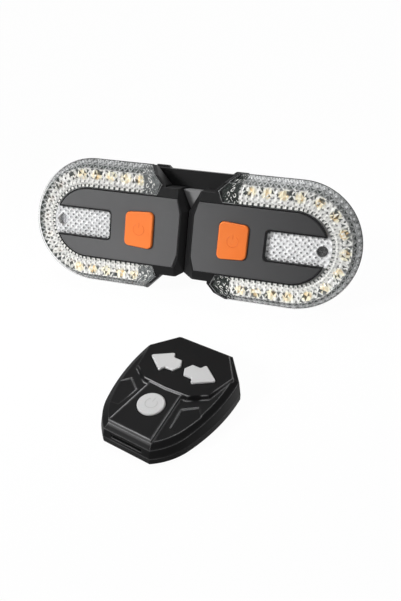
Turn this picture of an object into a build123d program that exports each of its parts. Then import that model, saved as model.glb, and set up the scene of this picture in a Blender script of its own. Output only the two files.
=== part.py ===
from build123d import *
from math import cos, radians, sin
import os

# Twin bicycle tail lamp on a seat-post bracket, with its wireless remote.
# The lamp leans back on a table, on its lower case edge and on its clamp,
# and the remote lies in front of it. X runs along the lamp, to the right
# as seen from the front, Y runs back and Z up. The origin is the centre of
# the footprint, on the table. All lengths are millimetres.

# Lamp pair, measured from the centre of its front, in the lamp's own upright
# directions: x along the lamp, depth back from the cover's face, z up
lamp_length = 165.0
lamp_height = 62.0
lamp_depth = 17.0
lamp_lean = 20.5
lamp_gap = 0.3
case_depth = 5.0
wall = 1.7

# Fork-shaped front cover
cover_radius = 16.4
cover_tip_cut = 1.2
cover_inner_x = 3.5
cover_flat = 9.7
cover_corner_run = 1.9
cover_thickness = 1.2
window_x = 37.9
window_half = 7.5
window_corner = 2.0
cover_bevel = 0.25

# Black bezel under the cover and around the electronics
rim_width = 0.7
rim_set_back = 0.3
bezel_half = 21.6
bezel_face_half = 21.2
bezel_chamfer_depth = 2.0
bezel_end_x = 36.4
fork_depth = 3.2
crown_depth = 7.0
ridge_depth = 3.0
ridge_high_flat = 11.2
ridge_low_flat = 18.7
ridge_high_slope = 0.5
ridge_low_slope = 1.5
nose_margin = 0.25
end_gap = 0.2
end_wall = 1.5
end_set_back = 0.2

# Clear lens
lens_face_depth = 1.2
lens_ridge_radius = 26.6
lens_ridge_depth = 1.9
lens_rim = 2.0
lens_end_low_x = 16.0
lens_tip_x = 13.7
lens_tip_z = 22.3
lens_end_run = 8.3
lens_wall = 1.6
lens_crown_run = 3.5

# Lamp electronics
board_thickness = 1.0
led_board_depth = 7.0
led_board_radius = 27.6
led_path_radius = 23.2
led_pitch = 7.6
led_end_margin = 4.4
led_arc_step = 22.5
led_size = (2.8, 3.5, 0.9)
reflector_top_radius = 17.8
reflector_foot_radius = 21.6
reflector_wall = 0.9
main_board_length = 28.0
main_board_margin = 1.5
main_board_x = 6.2
main_board_depth = 7.0
board_post_radius = 1.5
board_post_xs = (13.0, 30.5)
board_post_edge = 2.2
switch_size = (6.0, 6.0, 1.6)
switch_plunger = 0.4
battery_width = 28.0
battery_x = 38.6
battery_end_gap = 2.7
battery_gap = 0.35
ribbon_width = 8.0
ribbon_length = 9.0
ribbon_thickness = 0.4
lens_screw_reach = 13.0
lens_screw_head = 2.5
lens_screw_shank = 1.1
lens_screw_head_height = 1.2
lens_screw_tip_gap = 2.2
case_screw_radius = 1.25
case_screw_head = 2.3
case_screw_bite = 5.0
case_screw_head_height = 1.3
bezel_screw_place = (9.2, 17.2)
arm_screw_steps = 2.5
arm_screw_shift = 0.5
reflector_screw_radius = 20.8
reflector_screw_angle = 33.75

# Lamp power button
button_x = 16.1
button_length = 14.1
button_inner_half = 9.0
button_outer_half = 8.1
button_corner = 2.4
button_proud = 1.3
button_travel = 0.8
button_clearance = 0.2
button_flange = 1.0

# Charging port on the back of each lamp
port_x = 31.0
port_length = 9.0
port_width = 3.3
port_floor = 1.9
flap_length = 15.0
flap_width = 9.0
flap_thickness = 1.3
flap_hinge_x = 36.0
plug_reach = 1.0

# Slide-on rail that carries the lamps
rail_neck_half = 5.0
rail_head_half = 7.4
rail_height = 2.6
rail_half_length = 23.0
rail_clearance = 0.25
rail_floor = 1.5

# Bracket
plate_depth = 18.6
plate_thickness = 3.0
plate_half_width = 25.0
plate_bottom = -20.0
bar_depth = 17.3
bar_thickness = 8.0
bar_half_width = 23.4
bar_low = 20.0
bar_top = 29.6
tab_start_x = 16.0
tab_rise = 1.3
tab_slope = 1.6
tab_depth = 3.5
plate_corner = 3.0
saddle_half = 12.0

# Wedge between the lamps' noses
wedge_depth = 7.5
wedge_low = 12.4
wedge_high = 20.9
wedge_gap = 0.35

# Seat-post clamp
post_radius = 15.8
liner_thickness = 1.5
clamp_wall = 3.3
clamp_height = 26.0
clamp_stand_off = 2.4
clamp_split = 0.8
ear_reach = 12.5
ear_thickness = 5.0
clamp_screw_radius = 2.0
clamp_screw_head_radius = 4.0
clamp_screw_head_height = 4.2
clamp_screw_clearance = 0.06
clamp_nut_across = 7.0
clamp_nut_height = 3.2
ear_corner = 3.0
liner_step = 0.6

# Remote, measured from the centre of its round button, y towards its wide end
remote_place = (12.3, -89.3)
remote_turn = 16.7
remote_height = 12.4
remote_shoulder = 7.9
remote_draft = 0.7
remote_base_height = 3.4
remote_wall = 1.6
remote_top_inset = 3.1
remote_tail_y = -16.4
remote_tail_half = 10.4
remote_head_y = 40.6
remote_head_half = 13.0
remote_corner_half = 22.4
remote_corner_y = 29.0
remote_belly_half = 22.5
remote_belly_y = 13.0
remote_waist_half = 18.9
remote_waist_y = -4.8
remote_hip_half = 15.4
remote_hip_y = -11.4
panel_head_half = 12.0
panel_head_y = 37.8
panel_corner_half = 19.7
panel_corner_y = 26.9
panel_low_half = 16.4
panel_low_y = 14.0
panel_toe_half = 10.0
panel_toe_y = 9.6
panel_slope = 1.6
spine_top_half = 7.0
spine_tail_half = 9.6
spine_tail_y = -13.6
spine_middle = 11.0
spine_slope = 0.075
lip_drop = 1.0
wing_middle = 9.6
wing_slope = 0.07
grip_drop = 0.95
grip_side_slope = 0.048
grip_fall = 0.036
grip_points = ((10.4, 4.6), (15.6, 8.6), (20.5, 3.0), (18.5, -6.0), (11.7, -4.8))
tail_hollow = 5.8
wing_hollow = 7.0
head_boss = (17.8, 15.5)
tail_boss = (12.6, -6.8)
tail_slot = (13.5, 3.8, 1.3)
tail_slot_height = 4.5
base_floor = 2.0
door_thickness = 1.4
board_level = 5.0
remote_board_thickness = 0.8
remote_switch_height = 1.2
remote_screw_radius = 0.9
remote_screw_head = 1.8
arrow_centre_x = 9.0
remote_button_radius = 5.35
remote_button_proud = 0.7
remote_button_travel = 0.6
remote_button_clearance = 0.15
arrow_tip_x = 15.3
arrow_tail_x = 0.9
arrow_y = 21.6
arrow_head_half = 6.0
arrow_neck_x = 7.4
arrow_stem_half = 3.4
arrow_notch_back = 1.2
cell_radius = 10.0
cell_thickness = 3.2
cell_y = 9.0
door_radius = 12.0
contact_size = (6.0, 15.0)
remote_board_half = 13.0
remote_board_waist_half = 9.5
remote_board_ends = (-8.0, 29.0)
remote_board_waist = (-4.0, 0.0)
small_sides = 14
head_sides = 24

lean = radians(lamp_lean)
lamp_back = Vector(0, cos(lean), -sin(lean))
lamp_up = Vector(0, sin(lean), cos(lean))
depth_axis = Axis((0, 0, 0), lamp_back)
lens_radius = lamp_height / 2
arc_x = lamp_length / 2 - lens_radius
parting_depth = lamp_depth - case_depth
lens_wall_depth = parting_depth - lens_rim
led_rows = int((arc_x - lens_tip_x - led_end_margin) / led_pitch)
lens_screw_x = arc_x + lens_screw_reach
arm_screw_x = arc_x - arm_screw_steps * led_pitch - arm_screw_shift
seam_x = lamp_gap / 2
far_x = lamp_length
body_half = cover_radius + rim_width
bezel_screws = [(bezel_screw_place[0], sign * bezel_screw_place[1]) for sign in (1, -1)]
screw_turn = radians(reflector_screw_angle)
reflector_screws = [(arm_screw_x, sign * reflector_screw_radius) for sign in (1, -1)]
reflector_screws += [(arc_x + reflector_screw_radius * cos(screw_turn),
                      sign * reflector_screw_radius * sin(screw_turn)) for sign in (1, -1)]
case_screw_places = bezel_screws + reflector_screws


def front(depth):
    """Plane square to the lamp's view axis, facing the viewer, at a depth behind the cover."""
    return Plane(origin=lamp_back * depth, x_dir=(1, 0, 0), z_dir=-lamp_back)


def level(height):
    """Plane across the lamp at a height above its centre line, y running back."""
    return Plane(origin=lamp_up * height, x_dir=(1, 0, 0), z_dir=lamp_up)


def side(x):
    """Plane facing the lamp's right-hand end, x running back and y up the lamp."""
    return Plane(origin=(x, 0, 0), x_dir=lamp_back, z_dir=(1, 0, 0))


def remote_level(height):
    """Plane parallel to the table in the remote's own directions."""
    turn = radians(remote_turn)
    return Plane(origin=(*remote_place, height), x_dir=(cos(turn), -sin(turn), 0), z_dir=(0, 0, 1))


def lens_end_x(z):
    """Where the lens starts, at a height beyond the tip of its inner end."""
    return lens_tip_x + lens_end_run * (z - lens_tip_z) / (lens_radius - lens_tip_z)


def d_face(radius, inner_x):
    """Half-stadium face: straight from inner_x, round at the lamp's outer end."""
    with BuildSketch() as face:
        with BuildLine():
            Polyline((arc_x, -radius), (inner_x, -radius), (inner_x, radius), (arc_x, radius))
            ThreePointArc((arc_x, radius), (arc_x + radius, 0), (arc_x, -radius))
        make_face()
    return face.sketch


def lens_face(radius, shrink=0.0):
    """Outline of a lamp outside the bezel: half stadium with a pointed inner end."""
    start = lens_end_x(radius + shrink) + shrink
    tip = lens_tip_x + shrink
    heel = lens_end_low_x + shrink
    with BuildSketch() as face:
        with BuildLine():
            Polyline((arc_x, -radius), (start, -radius), (tip, -lens_tip_z), (heel, -body_half),
                     (heel, body_half), (tip, lens_tip_z), (start, radius), (arc_x, radius))
            ThreePointArc((arc_x, radius), (arc_x + radius, 0), (arc_x, -radius))
        make_face()
    return face.sketch


def fork_face(grow):
    """Fork-shaped cover outline, grown by a margin all round, with the slot between its tines."""
    reach = cover_radius + grow
    inner = cover_inner_x - grow
    shoulder = cover_inner_x + cover_corner_run - grow
    slot_half = window_half - grow
    with BuildSketch() as face:
        with BuildLine():
            Polyline((arc_x, -reach), (shoulder, -reach), (inner, -cover_flat), (inner, cover_flat),
                     (shoulder, reach), (arc_x, reach))
            ThreePointArc((arc_x, reach), (arc_x + reach - cover_tip_cut, 0), (arc_x, -reach))
        make_face()
        with Locations((window_x + grow, 0)):
            Rectangle(lens_radius * 2, slot_half * 2, align=(Align.MIN, Align.CENTER), mode=Mode.SUBTRACT)
        inner_corners = face.vertices().filter_by_position(Axis.X, window_x, window_x + grow + 0.01)
        fillet(inner_corners.filter_by_position(Axis.Y, -window_half, window_half), window_corner)
    return face.sketch


def button_face(grow):
    """Rounded trapezium of the lamp's button, taller on its inner side."""
    inner = button_x - grow
    outer = button_x + button_length + grow
    with BuildSketch() as face:
        with BuildLine():
            Polyline((inner, -button_inner_half - grow), (inner, button_inner_half + grow),
                     (outer, button_outer_half + grow), (outer, -button_outer_half - grow), close=True)
        make_face()
        fillet(face.vertices(), button_corner + grow / 2)
    return face.sketch


def nose_section(start_x, high_flat, low_flat, high_slope, low_slope):
    """Section of the lamp's inner end: a flat middle with its upper and lower corners cut back."""
    high_corner = start_x + high_slope * (bezel_half - high_flat)
    low_corner = start_x + low_slope * (bezel_half - low_flat)
    with BuildSketch() as face:
        with BuildLine():
            Polyline((far_x, -bezel_half), (low_corner, -bezel_half), (start_x, -low_flat),
                     (start_x, high_flat), (high_corner, bezel_half), (far_x, bezel_half), close=True)
        make_face()
    return face.sketch


def ridge_section():
    """Section where the two lamps meet, from their ridge to their back."""
    return nose_section(seam_x, ridge_high_flat, ridge_low_flat, ridge_high_slope, ridge_low_slope)


def block_face(gap):
    """Bezel's outline between the lamps' seam and the lens, with its body beside the lens."""
    tip = lens_tip_x - gap
    heel = lens_end_low_x - gap
    with BuildSketch() as face:
        with BuildLine():
            Polyline((0, -lens_tip_z), (0, lens_tip_z), (tip, lens_tip_z), (heel, body_half),
                     (bezel_end_x, body_half), (bezel_end_x, -body_half), (heel, -body_half),
                     (tip, -lens_tip_z), close=True)
        make_face()
    return face.sketch


def end_walls():
    """Walls that close the lens's pointed inner end, above and below the bezel's block."""
    near = lens_tip_x - end_gap
    far = lens_end_x(lens_radius) - end_gap
    root = bezel_half - 2.0
    with BuildPart() as walls:
        with BuildSketch(front(parting_depth)):
            with BuildLine():
                Polyline((near - end_wall, root), (near, root), (near, lens_tip_z), (far, lens_radius),
                         (far - end_wall, lens_radius), (near - end_wall, lens_tip_z), close=True)
            make_face()
            mirror(about=Plane.XZ)
        extrude(amount=parting_depth)
        with BuildSketch(side(0)):
            with BuildLine():
                Polyline((lens_ridge_depth + end_set_back, 0),
                         (lens_ridge_depth + end_set_back, lens_ridge_radius - end_set_back),
                         (lens_wall_depth + end_set_back, lens_radius - end_set_back),
                         (parting_depth, lens_radius - end_set_back), (parting_depth, 0), close=True)
            make_face()
            mirror(about=Plane.XZ)
        extrude(amount=far_x, mode=Mode.INTERSECT)
    return walls.part


def nose():
    """Solid that bevels a lamp's inner end: corner facets, and chamfers above and below."""
    lead = 1.0
    cover_slope = cover_corner_run / (cover_radius - cover_flat)
    face_x = cover_inner_x - nose_margin
    ridge_run = (face_x - seam_x) / ridge_depth
    with BuildPart() as form:
        with BuildSketch(front(-lead)):
            add(nose_section(face_x + lead * ridge_run, cover_flat, cover_flat, cover_slope, cover_slope))
        with BuildSketch(front(ridge_depth)):
            add(ridge_section())
        loft(ruled=True)
        with BuildSketch(front(lamp_depth)):
            add(ridge_section())
        extrude(amount=lamp_depth - ridge_depth)
        with BuildSketch(side(0)):
            with BuildLine():
                Polyline((0, 0), (0, cover_radius), (bezel_chamfer_depth, bezel_face_half),
                         (crown_depth, bezel_half), (lamp_depth, bezel_half), (lamp_depth, 0))
                mirror(about=Plane.XZ)
            make_face()
        extrude(amount=far_x, mode=Mode.INTERSECT)
    return form.part


def dovetail(grow, start, length):
    """Rail section, undercut towards the lamps, run along X."""
    head_depth = lamp_depth - rail_height - grow
    with BuildPart() as rail:
        with BuildSketch(side(start)):
            with BuildLine():
                Polyline((plate_depth + 1, rail_neck_half + grow), (lamp_depth, rail_neck_half + grow),
                         (head_depth, rail_head_half + grow), (head_depth, -rail_head_half - grow),
                         (lamp_depth, -rail_neck_half - grow), (plate_depth + 1, -rail_neck_half - grow),
                         close=True)
            make_face()
        extrude(amount=length)
    return rail.part


def ribbon_slot():
    """Slot for the ribbon through the walls between the two boards."""
    with BuildPart() as slot:
        with BuildSketch(front(main_board_depth + 0.1)):
            with Locations((bezel_end_x, 0)):
                Rectangle(ribbon_length + 1.0, ribbon_width + 1.0)
        extrude(amount=ribbon_thickness + 0.4)
    return slot.part


pieces = {}


def keep(builder, name):
    """Hold a finished piece under its own name."""
    pieces[name] = builder.part


def keep_pair(right, name):
    """Hold a piece of the right-hand lamp, and its mirror image for the left."""
    pieces["right_" + name] = right.part
    with BuildPart() as left:
        mirror(right.part, about=Plane.YZ)
    pieces["left_" + name] = left.part


# Front cover: the grey fork with the button's opening
with BuildPart() as front_cover:
    with BuildSketch(front(cover_thickness)):
        add(fork_face(0))
        add(button_face(button_clearance), mode=Mode.SUBTRACT)
    extrude(amount=cover_thickness)
    face_edges = front_cover.faces().sort_by(depth_axis).first.outer_wire().edges()
    chamfer(face_edges, cover_bevel)
keep_pair(front_cover, "front_cover")

# Bezel: black body of the inner end, with the rim that frames the cover
pocket_depth = cover_thickness + 0.05
chamber_wall = 1.4
chamber_start = 4.8
chamber_half = body_half - chamber_wall
main_board_half = chamber_half - main_board_margin
board_post_y = main_board_half - board_post_edge
board_post_places = [(x, sign * board_post_y) for x in board_post_xs for sign in (1, -1)]
chamber_front = pocket_depth + 1.5
with BuildPart() as bezel:
    with BuildSketch(front(parting_depth)):
        add(block_face(end_gap))
    extrude(amount=parting_depth)
    add(nose(), mode=Mode.INTERSECT)
    add(end_walls())
    with BuildSketch(front(fork_depth)):
        add(fork_face(rim_width))
        Rectangle(2 * (bezel_end_x - 0.5), lamp_height, mode=Mode.SUBTRACT)
    extrude(amount=fork_depth - rim_set_back)
    with BuildSketch(front(rim_set_back)):
        Rectangle(2 * far_x, lamp_height)
    extrude(amount=2 * rim_set_back, mode=Mode.SUBTRACT)
    with BuildSketch(front(pocket_depth)):
        add(fork_face(0.05))
    extrude(amount=pocket_depth, mode=Mode.SUBTRACT)
    with BuildSketch(front(parting_depth)):
        with Locations((chamber_start, 0)):
            Rectangle(bezel_end_x - chamber_wall - chamber_start, 2 * chamber_half,
                      align=(Align.MIN, Align.CENTER))
    extrude(amount=parting_depth - chamber_front, mode=Mode.SUBTRACT)
    with BuildSketch(front(parting_depth)):
        add(button_face(button_clearance))
    extrude(amount=parting_depth, mode=Mode.SUBTRACT)
    add(ribbon_slot(), mode=Mode.SUBTRACT)
    # Screw bosses in the two inner corners
    with BuildSketch(front(parting_depth)):
        with Locations(*bezel_screws):
            RegularPolygon(case_screw_radius + 1.3, small_sides)
    extrude(amount=parting_depth - bezel_chamfer_depth - 1.5)
    with BuildSketch(front(parting_depth)):
        with Locations(*bezel_screws):
            RegularPolygon(case_screw_radius, small_sides)
    extrude(amount=case_screw_bite, mode=Mode.SUBTRACT)
keep_pair(bezel, "bezel")

# Lens: clear shell around the bezel, with the window's tongue between the tines
seat_gap = 0.08
room_half = body_half + seat_gap
pocket_floor = fork_depth + 0.05
floor_back = pocket_floor + 1.4
hollow_front = lens_face_depth + lens_wall
hollow_half = body_half + 1.4
with BuildPart() as lens:
    with BuildSketch(front(lens_wall_depth)):
        add(lens_face(lens_radius))
    with BuildSketch(front(lens_ridge_depth)):
        add(lens_face(lens_ridge_radius))
    loft(ruled=True)
    with BuildSketch(front(parting_depth)):
        add(lens_face(lens_radius))
    extrude(amount=parting_depth - lens_wall_depth)
    with BuildSketch(front(lens_ridge_depth)):
        add(lens_face(lens_ridge_radius))
    with BuildSketch(front(lens_face_depth)):
        add(lens_face(lens_ridge_radius - lens_crown_run))
    loft(ruled=True)
    # Room for the bezel's body, and for the fork with its rim
    with BuildSketch(front(parting_depth)):
        Rectangle(2 * (bezel_end_x + seat_gap), 2 * room_half)
    extrude(amount=parting_depth, mode=Mode.SUBTRACT)
    with BuildSketch(front(pocket_floor)):
        add(fork_face(rim_width + seat_gap))
    extrude(amount=pocket_floor, mode=Mode.SUBTRACT)
    # Hollow of the ring behind the front face, widening towards the back
    with BuildSketch(front(parting_depth)):
        add(lens_face(lens_radius - lens_wall, lens_wall))
    with BuildSketch(front(hollow_front)):
        add(lens_face(lens_ridge_radius - 1.0, lens_wall))
    loft(ruled=True, mode=Mode.SUBTRACT)
    # Floor under the tines, solid between them, and the wall round the bezel's body
    with BuildSketch(front(floor_back)):
        add(d_face(hollow_half, bezel_end_x + seat_gap))
    extrude(amount=floor_back - pocket_floor)
    with BuildSketch(front(floor_back)):
        add(d_face(hollow_half, bezel_end_x + seat_gap))
        add(fork_face(rim_width + seat_gap), mode=Mode.SUBTRACT)
    extrude(amount=floor_back - lens_face_depth - lens_wall / 2)
    with BuildSketch(front(parting_depth)):
        with Locations((lens_end_low_x + lens_wall / 2, 0)):
            Rectangle(bezel_end_x + 1.4 - lens_end_low_x - lens_wall / 2, 2 * hollow_half,
                      align=(Align.MIN, Align.CENTER))
        Rectangle(2 * (bezel_end_x + seat_gap), 2 * room_half, mode=Mode.SUBTRACT)
    extrude(amount=parting_depth - pocket_floor)
    add(ribbon_slot(), mode=Mode.SUBTRACT)
keep_pair(lens, "lens")

# Gasket between the case's rim and what it closes
gasket_thickness = 0.4
gasket_width = 1.2
with BuildPart() as gasket:
    with BuildSketch(front(parting_depth + gasket_thickness)):
        add(lens_face(lens_radius - 0.3, 0.3))
        add(lens_face(lens_radius - 0.3 - gasket_width, 0.3 + gasket_width), mode=Mode.SUBTRACT)
        with Locations((lens_end_low_x + 0.4 + gasket_width, 0)):
            Rectangle(far_x, 2 * body_half, align=(Align.MAX, Align.CENTER), mode=Mode.SUBTRACT)
    extrude(amount=gasket_thickness)
keep_pair(gasket, "gasket")

# Case back: tray with a tapered wall, a shoe for the rail, posts and the port
back_radius = lens_radius - 1.6
case_front = parting_depth + gasket_thickness
floor_depth = lamp_depth - wall
shoe_depth = lamp_depth - rail_height - rail_clearance - rail_floor
shoe_half = rail_head_half + rail_clearance + 1.6
shoe_length = rail_half_length + rail_clearance
post_radius_led = 2.2
with BuildPart() as case_back:
    with BuildSketch(front(lamp_depth)):
        add(block_face(0))
    extrude(amount=lamp_depth - parting_depth - 0.05)
    add(nose(), mode=Mode.INTERSECT)
    with BuildSketch(front(lamp_depth)):
        add(lens_face(back_radius))
    with BuildSketch(front(case_front)):
        add(lens_face(lens_radius))
    loft(ruled=True)
    with BuildSketch(front(floor_depth)):
        add(lens_face(back_radius - wall, wall))
    extrude(amount=floor_depth, mode=Mode.SUBTRACT)
    with BuildSketch(front(floor_depth)):
        with Locations((chamber_start, 0)):
            Rectangle(lens_end_low_x + wall - chamber_start, 2 * chamber_half,
                      align=(Align.MIN, Align.CENTER))
    extrude(amount=floor_depth, mode=Mode.SUBTRACT)
    # Shoe that the rail slides into, open towards the seam
    with BuildSketch(front(floor_depth)):
        with Locations((chamber_start, 0)):
            Rectangle(shoe_length + wall - chamber_start, 2 * shoe_half, align=(Align.MIN, Align.CENTER))
    extrude(amount=floor_depth - shoe_depth)
    add(dovetail(rail_clearance, 0, shoe_length), mode=Mode.SUBTRACT)
    # Posts under the boards and screw posts
    with BuildSketch(front(floor_depth)):
        with Locations((lens_screw_x, 0), *reflector_screws):
            RegularPolygon(post_radius_led, small_sides)
        with Locations(*board_post_places):
            RegularPolygon(board_post_radius, small_sides)
    extrude(amount=floor_depth - led_board_depth - board_thickness)
    with BuildSketch(front(lamp_depth)):
        with Locations(*case_screw_places):
            RegularPolygon(case_screw_radius + 0.15, small_sides)
    extrude(amount=lamp_depth, mode=Mode.SUBTRACT)
    with BuildSketch(front(floor_depth)):
        with Locations((lens_screw_x, 0)):
            RegularPolygon(lens_screw_shank, small_sides)
    extrude(amount=lamp_depth, mode=Mode.SUBTRACT)
    with BuildSketch(front(lamp_depth)):
        with Locations(*case_screw_places):
            RegularPolygon(case_screw_head + 0.2, head_sides)
    extrude(amount=case_screw_head_height + 0.2, mode=Mode.SUBTRACT)
    # Charging port with the seat of its flap
    with BuildSketch(front(lamp_depth)):
        with Locations((port_x, 0)):
            SlotOverall(port_length + 0.4, port_width + 0.4, rotation=90)
    extrude(amount=lamp_depth, mode=Mode.SUBTRACT)
    with BuildSketch(front(lamp_depth)):
        with Locations((flap_hinge_x + 0.2, 0)):
            Rectangle(flap_width + 0.4, flap_length + 0.4, align=(Align.MAX, Align.CENTER))
    extrude(amount=flap_thickness + 0.1, mode=Mode.SUBTRACT)
keep_pair(case_back, "case_back")

# LED board: half-stadium circuit board round the bezel's body
board_start_x = lens_end_x(led_board_radius) + lens_wall + 1.2
board_back = led_board_depth + board_thickness
inner_clear = hollow_half + 0.2
with BuildPart() as led_board:
    with BuildSketch(front(board_back)):
        add(d_face(led_board_radius - 1.0, board_start_x))
        Rectangle(2 * (bezel_end_x + lens_wall + 0.2), 2 * inner_clear, mode=Mode.SUBTRACT)
        with Locations((lens_screw_x, 0), *reflector_screws):
            RegularPolygon(case_screw_radius + 0.15, small_sides, mode=Mode.SUBTRACT)
    extrude(amount=board_thickness)
keep_pair(led_board, "led_board")

# LED chips along the straight rows and round the end
led_places = []
for sign in (1, -1):
    led_places += [(arc_x - led_pitch * step, sign * led_path_radius, 90) for step in range(led_rows)]
arc_turns = [led_arc_step * step for step in range(-3, 4)]
led_places += [(arc_x + led_path_radius * cos(radians(turn)), led_path_radius * sin(radians(turn)), turn)
               for turn in arc_turns]
with BuildPart() as leds:
    for x, z, turn in led_places:
        with BuildSketch(front(led_board_depth)):
            with Locations(Location((x, z), turn)):
                Rectangle(led_size[0], led_size[1])
        extrude(amount=led_size[2])
    chip_tops = leds.faces().group_by(depth_axis)[0]
    chamfer(chip_tops.edges(), 0.15)
keep_pair(leds, "leds")

# White reflector: a sloped band inside the LED row, and the panel behind the window
reflector_front = floor_back + 0.15
screw_seat = reflector_front + lens_screw_head_height + 0.1
boss_radius = 1.9
foot_start_x = board_start_x + 0.8
lens_screw_length = floor_depth - screw_seat - lens_screw_tip_gap
with BuildPart() as reflector:
    with BuildSketch(front(led_board_depth)):
        add(d_face(reflector_foot_radius, foot_start_x))
    with BuildSketch(front(reflector_front)):
        add(d_face(reflector_top_radius + 0.9, foot_start_x))
    loft(ruled=True)
    with BuildSketch(front(led_board_depth)):
        add(d_face(reflector_foot_radius - reflector_wall, bezel_end_x))
        Rectangle(2 * (bezel_end_x + lens_wall + reflector_wall), lamp_height, mode=Mode.SUBTRACT)
    extrude(amount=led_board_depth - reflector_front - reflector_wall, mode=Mode.SUBTRACT)
    with BuildSketch(front(led_board_depth)):
        Rectangle(2 * (bezel_end_x + lens_wall + 0.2), 2 * inner_clear)
    extrude(amount=lamp_depth, mode=Mode.SUBTRACT)
    with BuildSketch(front(led_board_depth)):
        with Locations((lens_screw_x, 0)):
            Circle(lens_screw_head + 1.2)
        with Locations(*reflector_screws):
            RegularPolygon(boss_radius, small_sides)
    extrude(amount=led_board_depth - reflector_front)
    with BuildSketch(front(led_board_depth)):
        with Locations((lens_screw_x, 0)):
            RegularPolygon(lens_screw_shank + 0.1, small_sides)
        with Locations(*reflector_screws):
            RegularPolygon(case_screw_radius, small_sides)
    extrude(amount=lamp_depth, mode=Mode.SUBTRACT)
    with BuildSketch(front(screw_seat)):
        with Locations((lens_screw_x, 0)):
            Circle(lens_screw_head + 0.2)
    extrude(amount=screw_seat, mode=Mode.SUBTRACT)
    add(ribbon_slot(), mode=Mode.SUBTRACT)
keep_pair(reflector, "reflector")

# Screw seen through the window, that holds the reflector and the board to the case
with BuildPart() as lens_screw:
    with BuildSketch(front(screw_seat)):
        with Locations((lens_screw_x, 0)):
            Circle(lens_screw_head)
    extrude(amount=lens_screw_head_height)
    with BuildSketch(front(screw_seat)):
        with Locations((lens_screw_x, 0)):
            RegularPolygon(lens_screw_shank, small_sides)
    extrude(amount=-lens_screw_length)
    with BuildSketch(front(screw_seat - lens_screw_head_height)):
        with Locations((lens_screw_x, 0)):
            Rectangle(2.8, 0.6)
            Rectangle(0.6, 2.8)
    extrude(amount=-0.5, mode=Mode.SUBTRACT)
keep_pair(lens_screw, "lens_screw")

# Main board behind the button, with its switch
main_board_back = main_board_depth + board_thickness
with BuildPart() as main_circuit:
    with BuildSketch(front(main_board_back)):
        with Locations((main_board_x, 0)):
            Rectangle(main_board_length, 2 * main_board_half, align=(Align.MIN, Align.CENTER))
    extrude(amount=board_thickness)
    with BuildSketch(front(main_board_depth)):
        with Locations((main_board_x + 4.5, 8.5)):
            Rectangle(5.0, 5.0)
        with Locations((main_board_x + 4.0, -8.0)):
            Rectangle(3.0, 6.0)
    extrude(amount=1.0)
keep_pair(main_circuit, "main_board")

button_centre_x = button_x + button_length / 2
switch_front = main_board_depth - switch_size[2]
plunger_front = switch_front - switch_plunger
with BuildPart() as button_switch:
    with BuildSketch(front(main_board_depth)):
        with Locations((button_centre_x, 0)):
            Rectangle(switch_size[0], switch_size[1])
    extrude(amount=switch_size[2])
    with BuildSketch(front(switch_front)):
        with Locations((button_centre_x, 0)):
            RegularPolygon(1.5, small_sides)
    extrude(amount=switch_plunger)
keep_pair(button_switch, "button_switch")

# Orange power button: proud cap, flange behind the bezel and a stem to the switch
flange_front = chamber_front + 0.1
flange_back = flange_front + button_flange
with BuildPart() as power_button:
    with BuildSketch(front(flange_front)):
        add(button_face(0))
    extrude(amount=flange_front + button_proud)
    cap_face = power_button.faces().sort_by(depth_axis).first
    chamfer(cap_face.outer_wire().edges(), 0.45)
    with BuildSketch(front(flange_back)):
        add(button_face(button_clearance + 0.9))
    extrude(amount=button_flange)
    with BuildSketch(front(plunger_front - button_travel - 0.05)):
        with Locations((button_centre_x, 0)):
            RegularPolygon(2.0, small_sides)
    extrude(amount=plunger_front - button_travel - 0.05 - flange_back)
keep_pair(power_button, "power_button")

# Ribbon from the main board to the LED board, through the bezel's end wall
with BuildPart() as ribbon:
    with BuildSketch(front(main_board_depth)):
        with Locations((bezel_end_x, 0)):
            Rectangle(ribbon_length, ribbon_width)
    extrude(amount=ribbon_thickness)
keep_pair(ribbon, "ribbon")

# Flat lithium cell on the case floor
battery_length = lens_screw_x - post_radius_led - battery_end_gap - battery_x
battery_thickness = floor_depth - led_board_depth - board_thickness - 2 * battery_gap
with BuildPart() as cell:
    with BuildSketch(front(floor_depth)):
        with Locations((battery_x, 0)):
            RectangleRounded(battery_length, battery_width, 1.5, align=(Align.MIN, Align.CENTER))
    extrude(amount=battery_thickness)
    chamfer(cell.faces().sort_by(depth_axis).first.edges(), 0.6)
keep_pair(cell, "battery")

# Upright charging socket between the main board and the case back
port_mouth = lamp_depth - flap_thickness - 0.3
port_reach = port_mouth - main_board_back - port_floor
with BuildPart() as port:
    with BuildSketch(front(port_mouth)):
        with Locations((port_x, 0)):
            SlotOverall(port_length, port_width, rotation=90)
    extrude(amount=port_mouth - main_board_back)
    with BuildSketch(front(port_mouth)):
        with Locations((port_x, 0)):
            SlotOverall(port_length - 0.7, port_width - 0.7, rotation=90)
    extrude(amount=port_reach, mode=Mode.SUBTRACT)
    with BuildSketch(front(port_mouth - 2.0)):
        with Locations((port_x, 0)):
            Rectangle(0.7, port_length - 2.6)
    extrude(amount=port_reach - 1.5)
keep_pair(port, "charging_port")

# Rubber flap over the port, with the plug that closes it
with BuildPart() as flap:
    with BuildSketch(front(lamp_depth)) as flap_face:
        with Locations((flap_hinge_x, 0)):
            Rectangle(flap_width, flap_length, align=(Align.MAX, Align.CENTER))
        fillet(flap_face.vertices(), 1.0)
    extrude(amount=flap_thickness)
    with BuildSketch(front(lamp_depth - flap_thickness)):
        with Locations((port_x, 0)):
            SlotOverall(port_length - 1.4, port_width - 1.3, rotation=90)
    extrude(amount=plug_reach)
    with BuildSketch(front(lamp_depth)):
        with Locations((flap_hinge_x - flap_width + 1.5, 0)):
            SlotOverall(5.0, 1.0, rotation=90)
    extrude(amount=0.5, mode=Mode.SUBTRACT)
keep_pair(flap, "port_flap")

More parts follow.
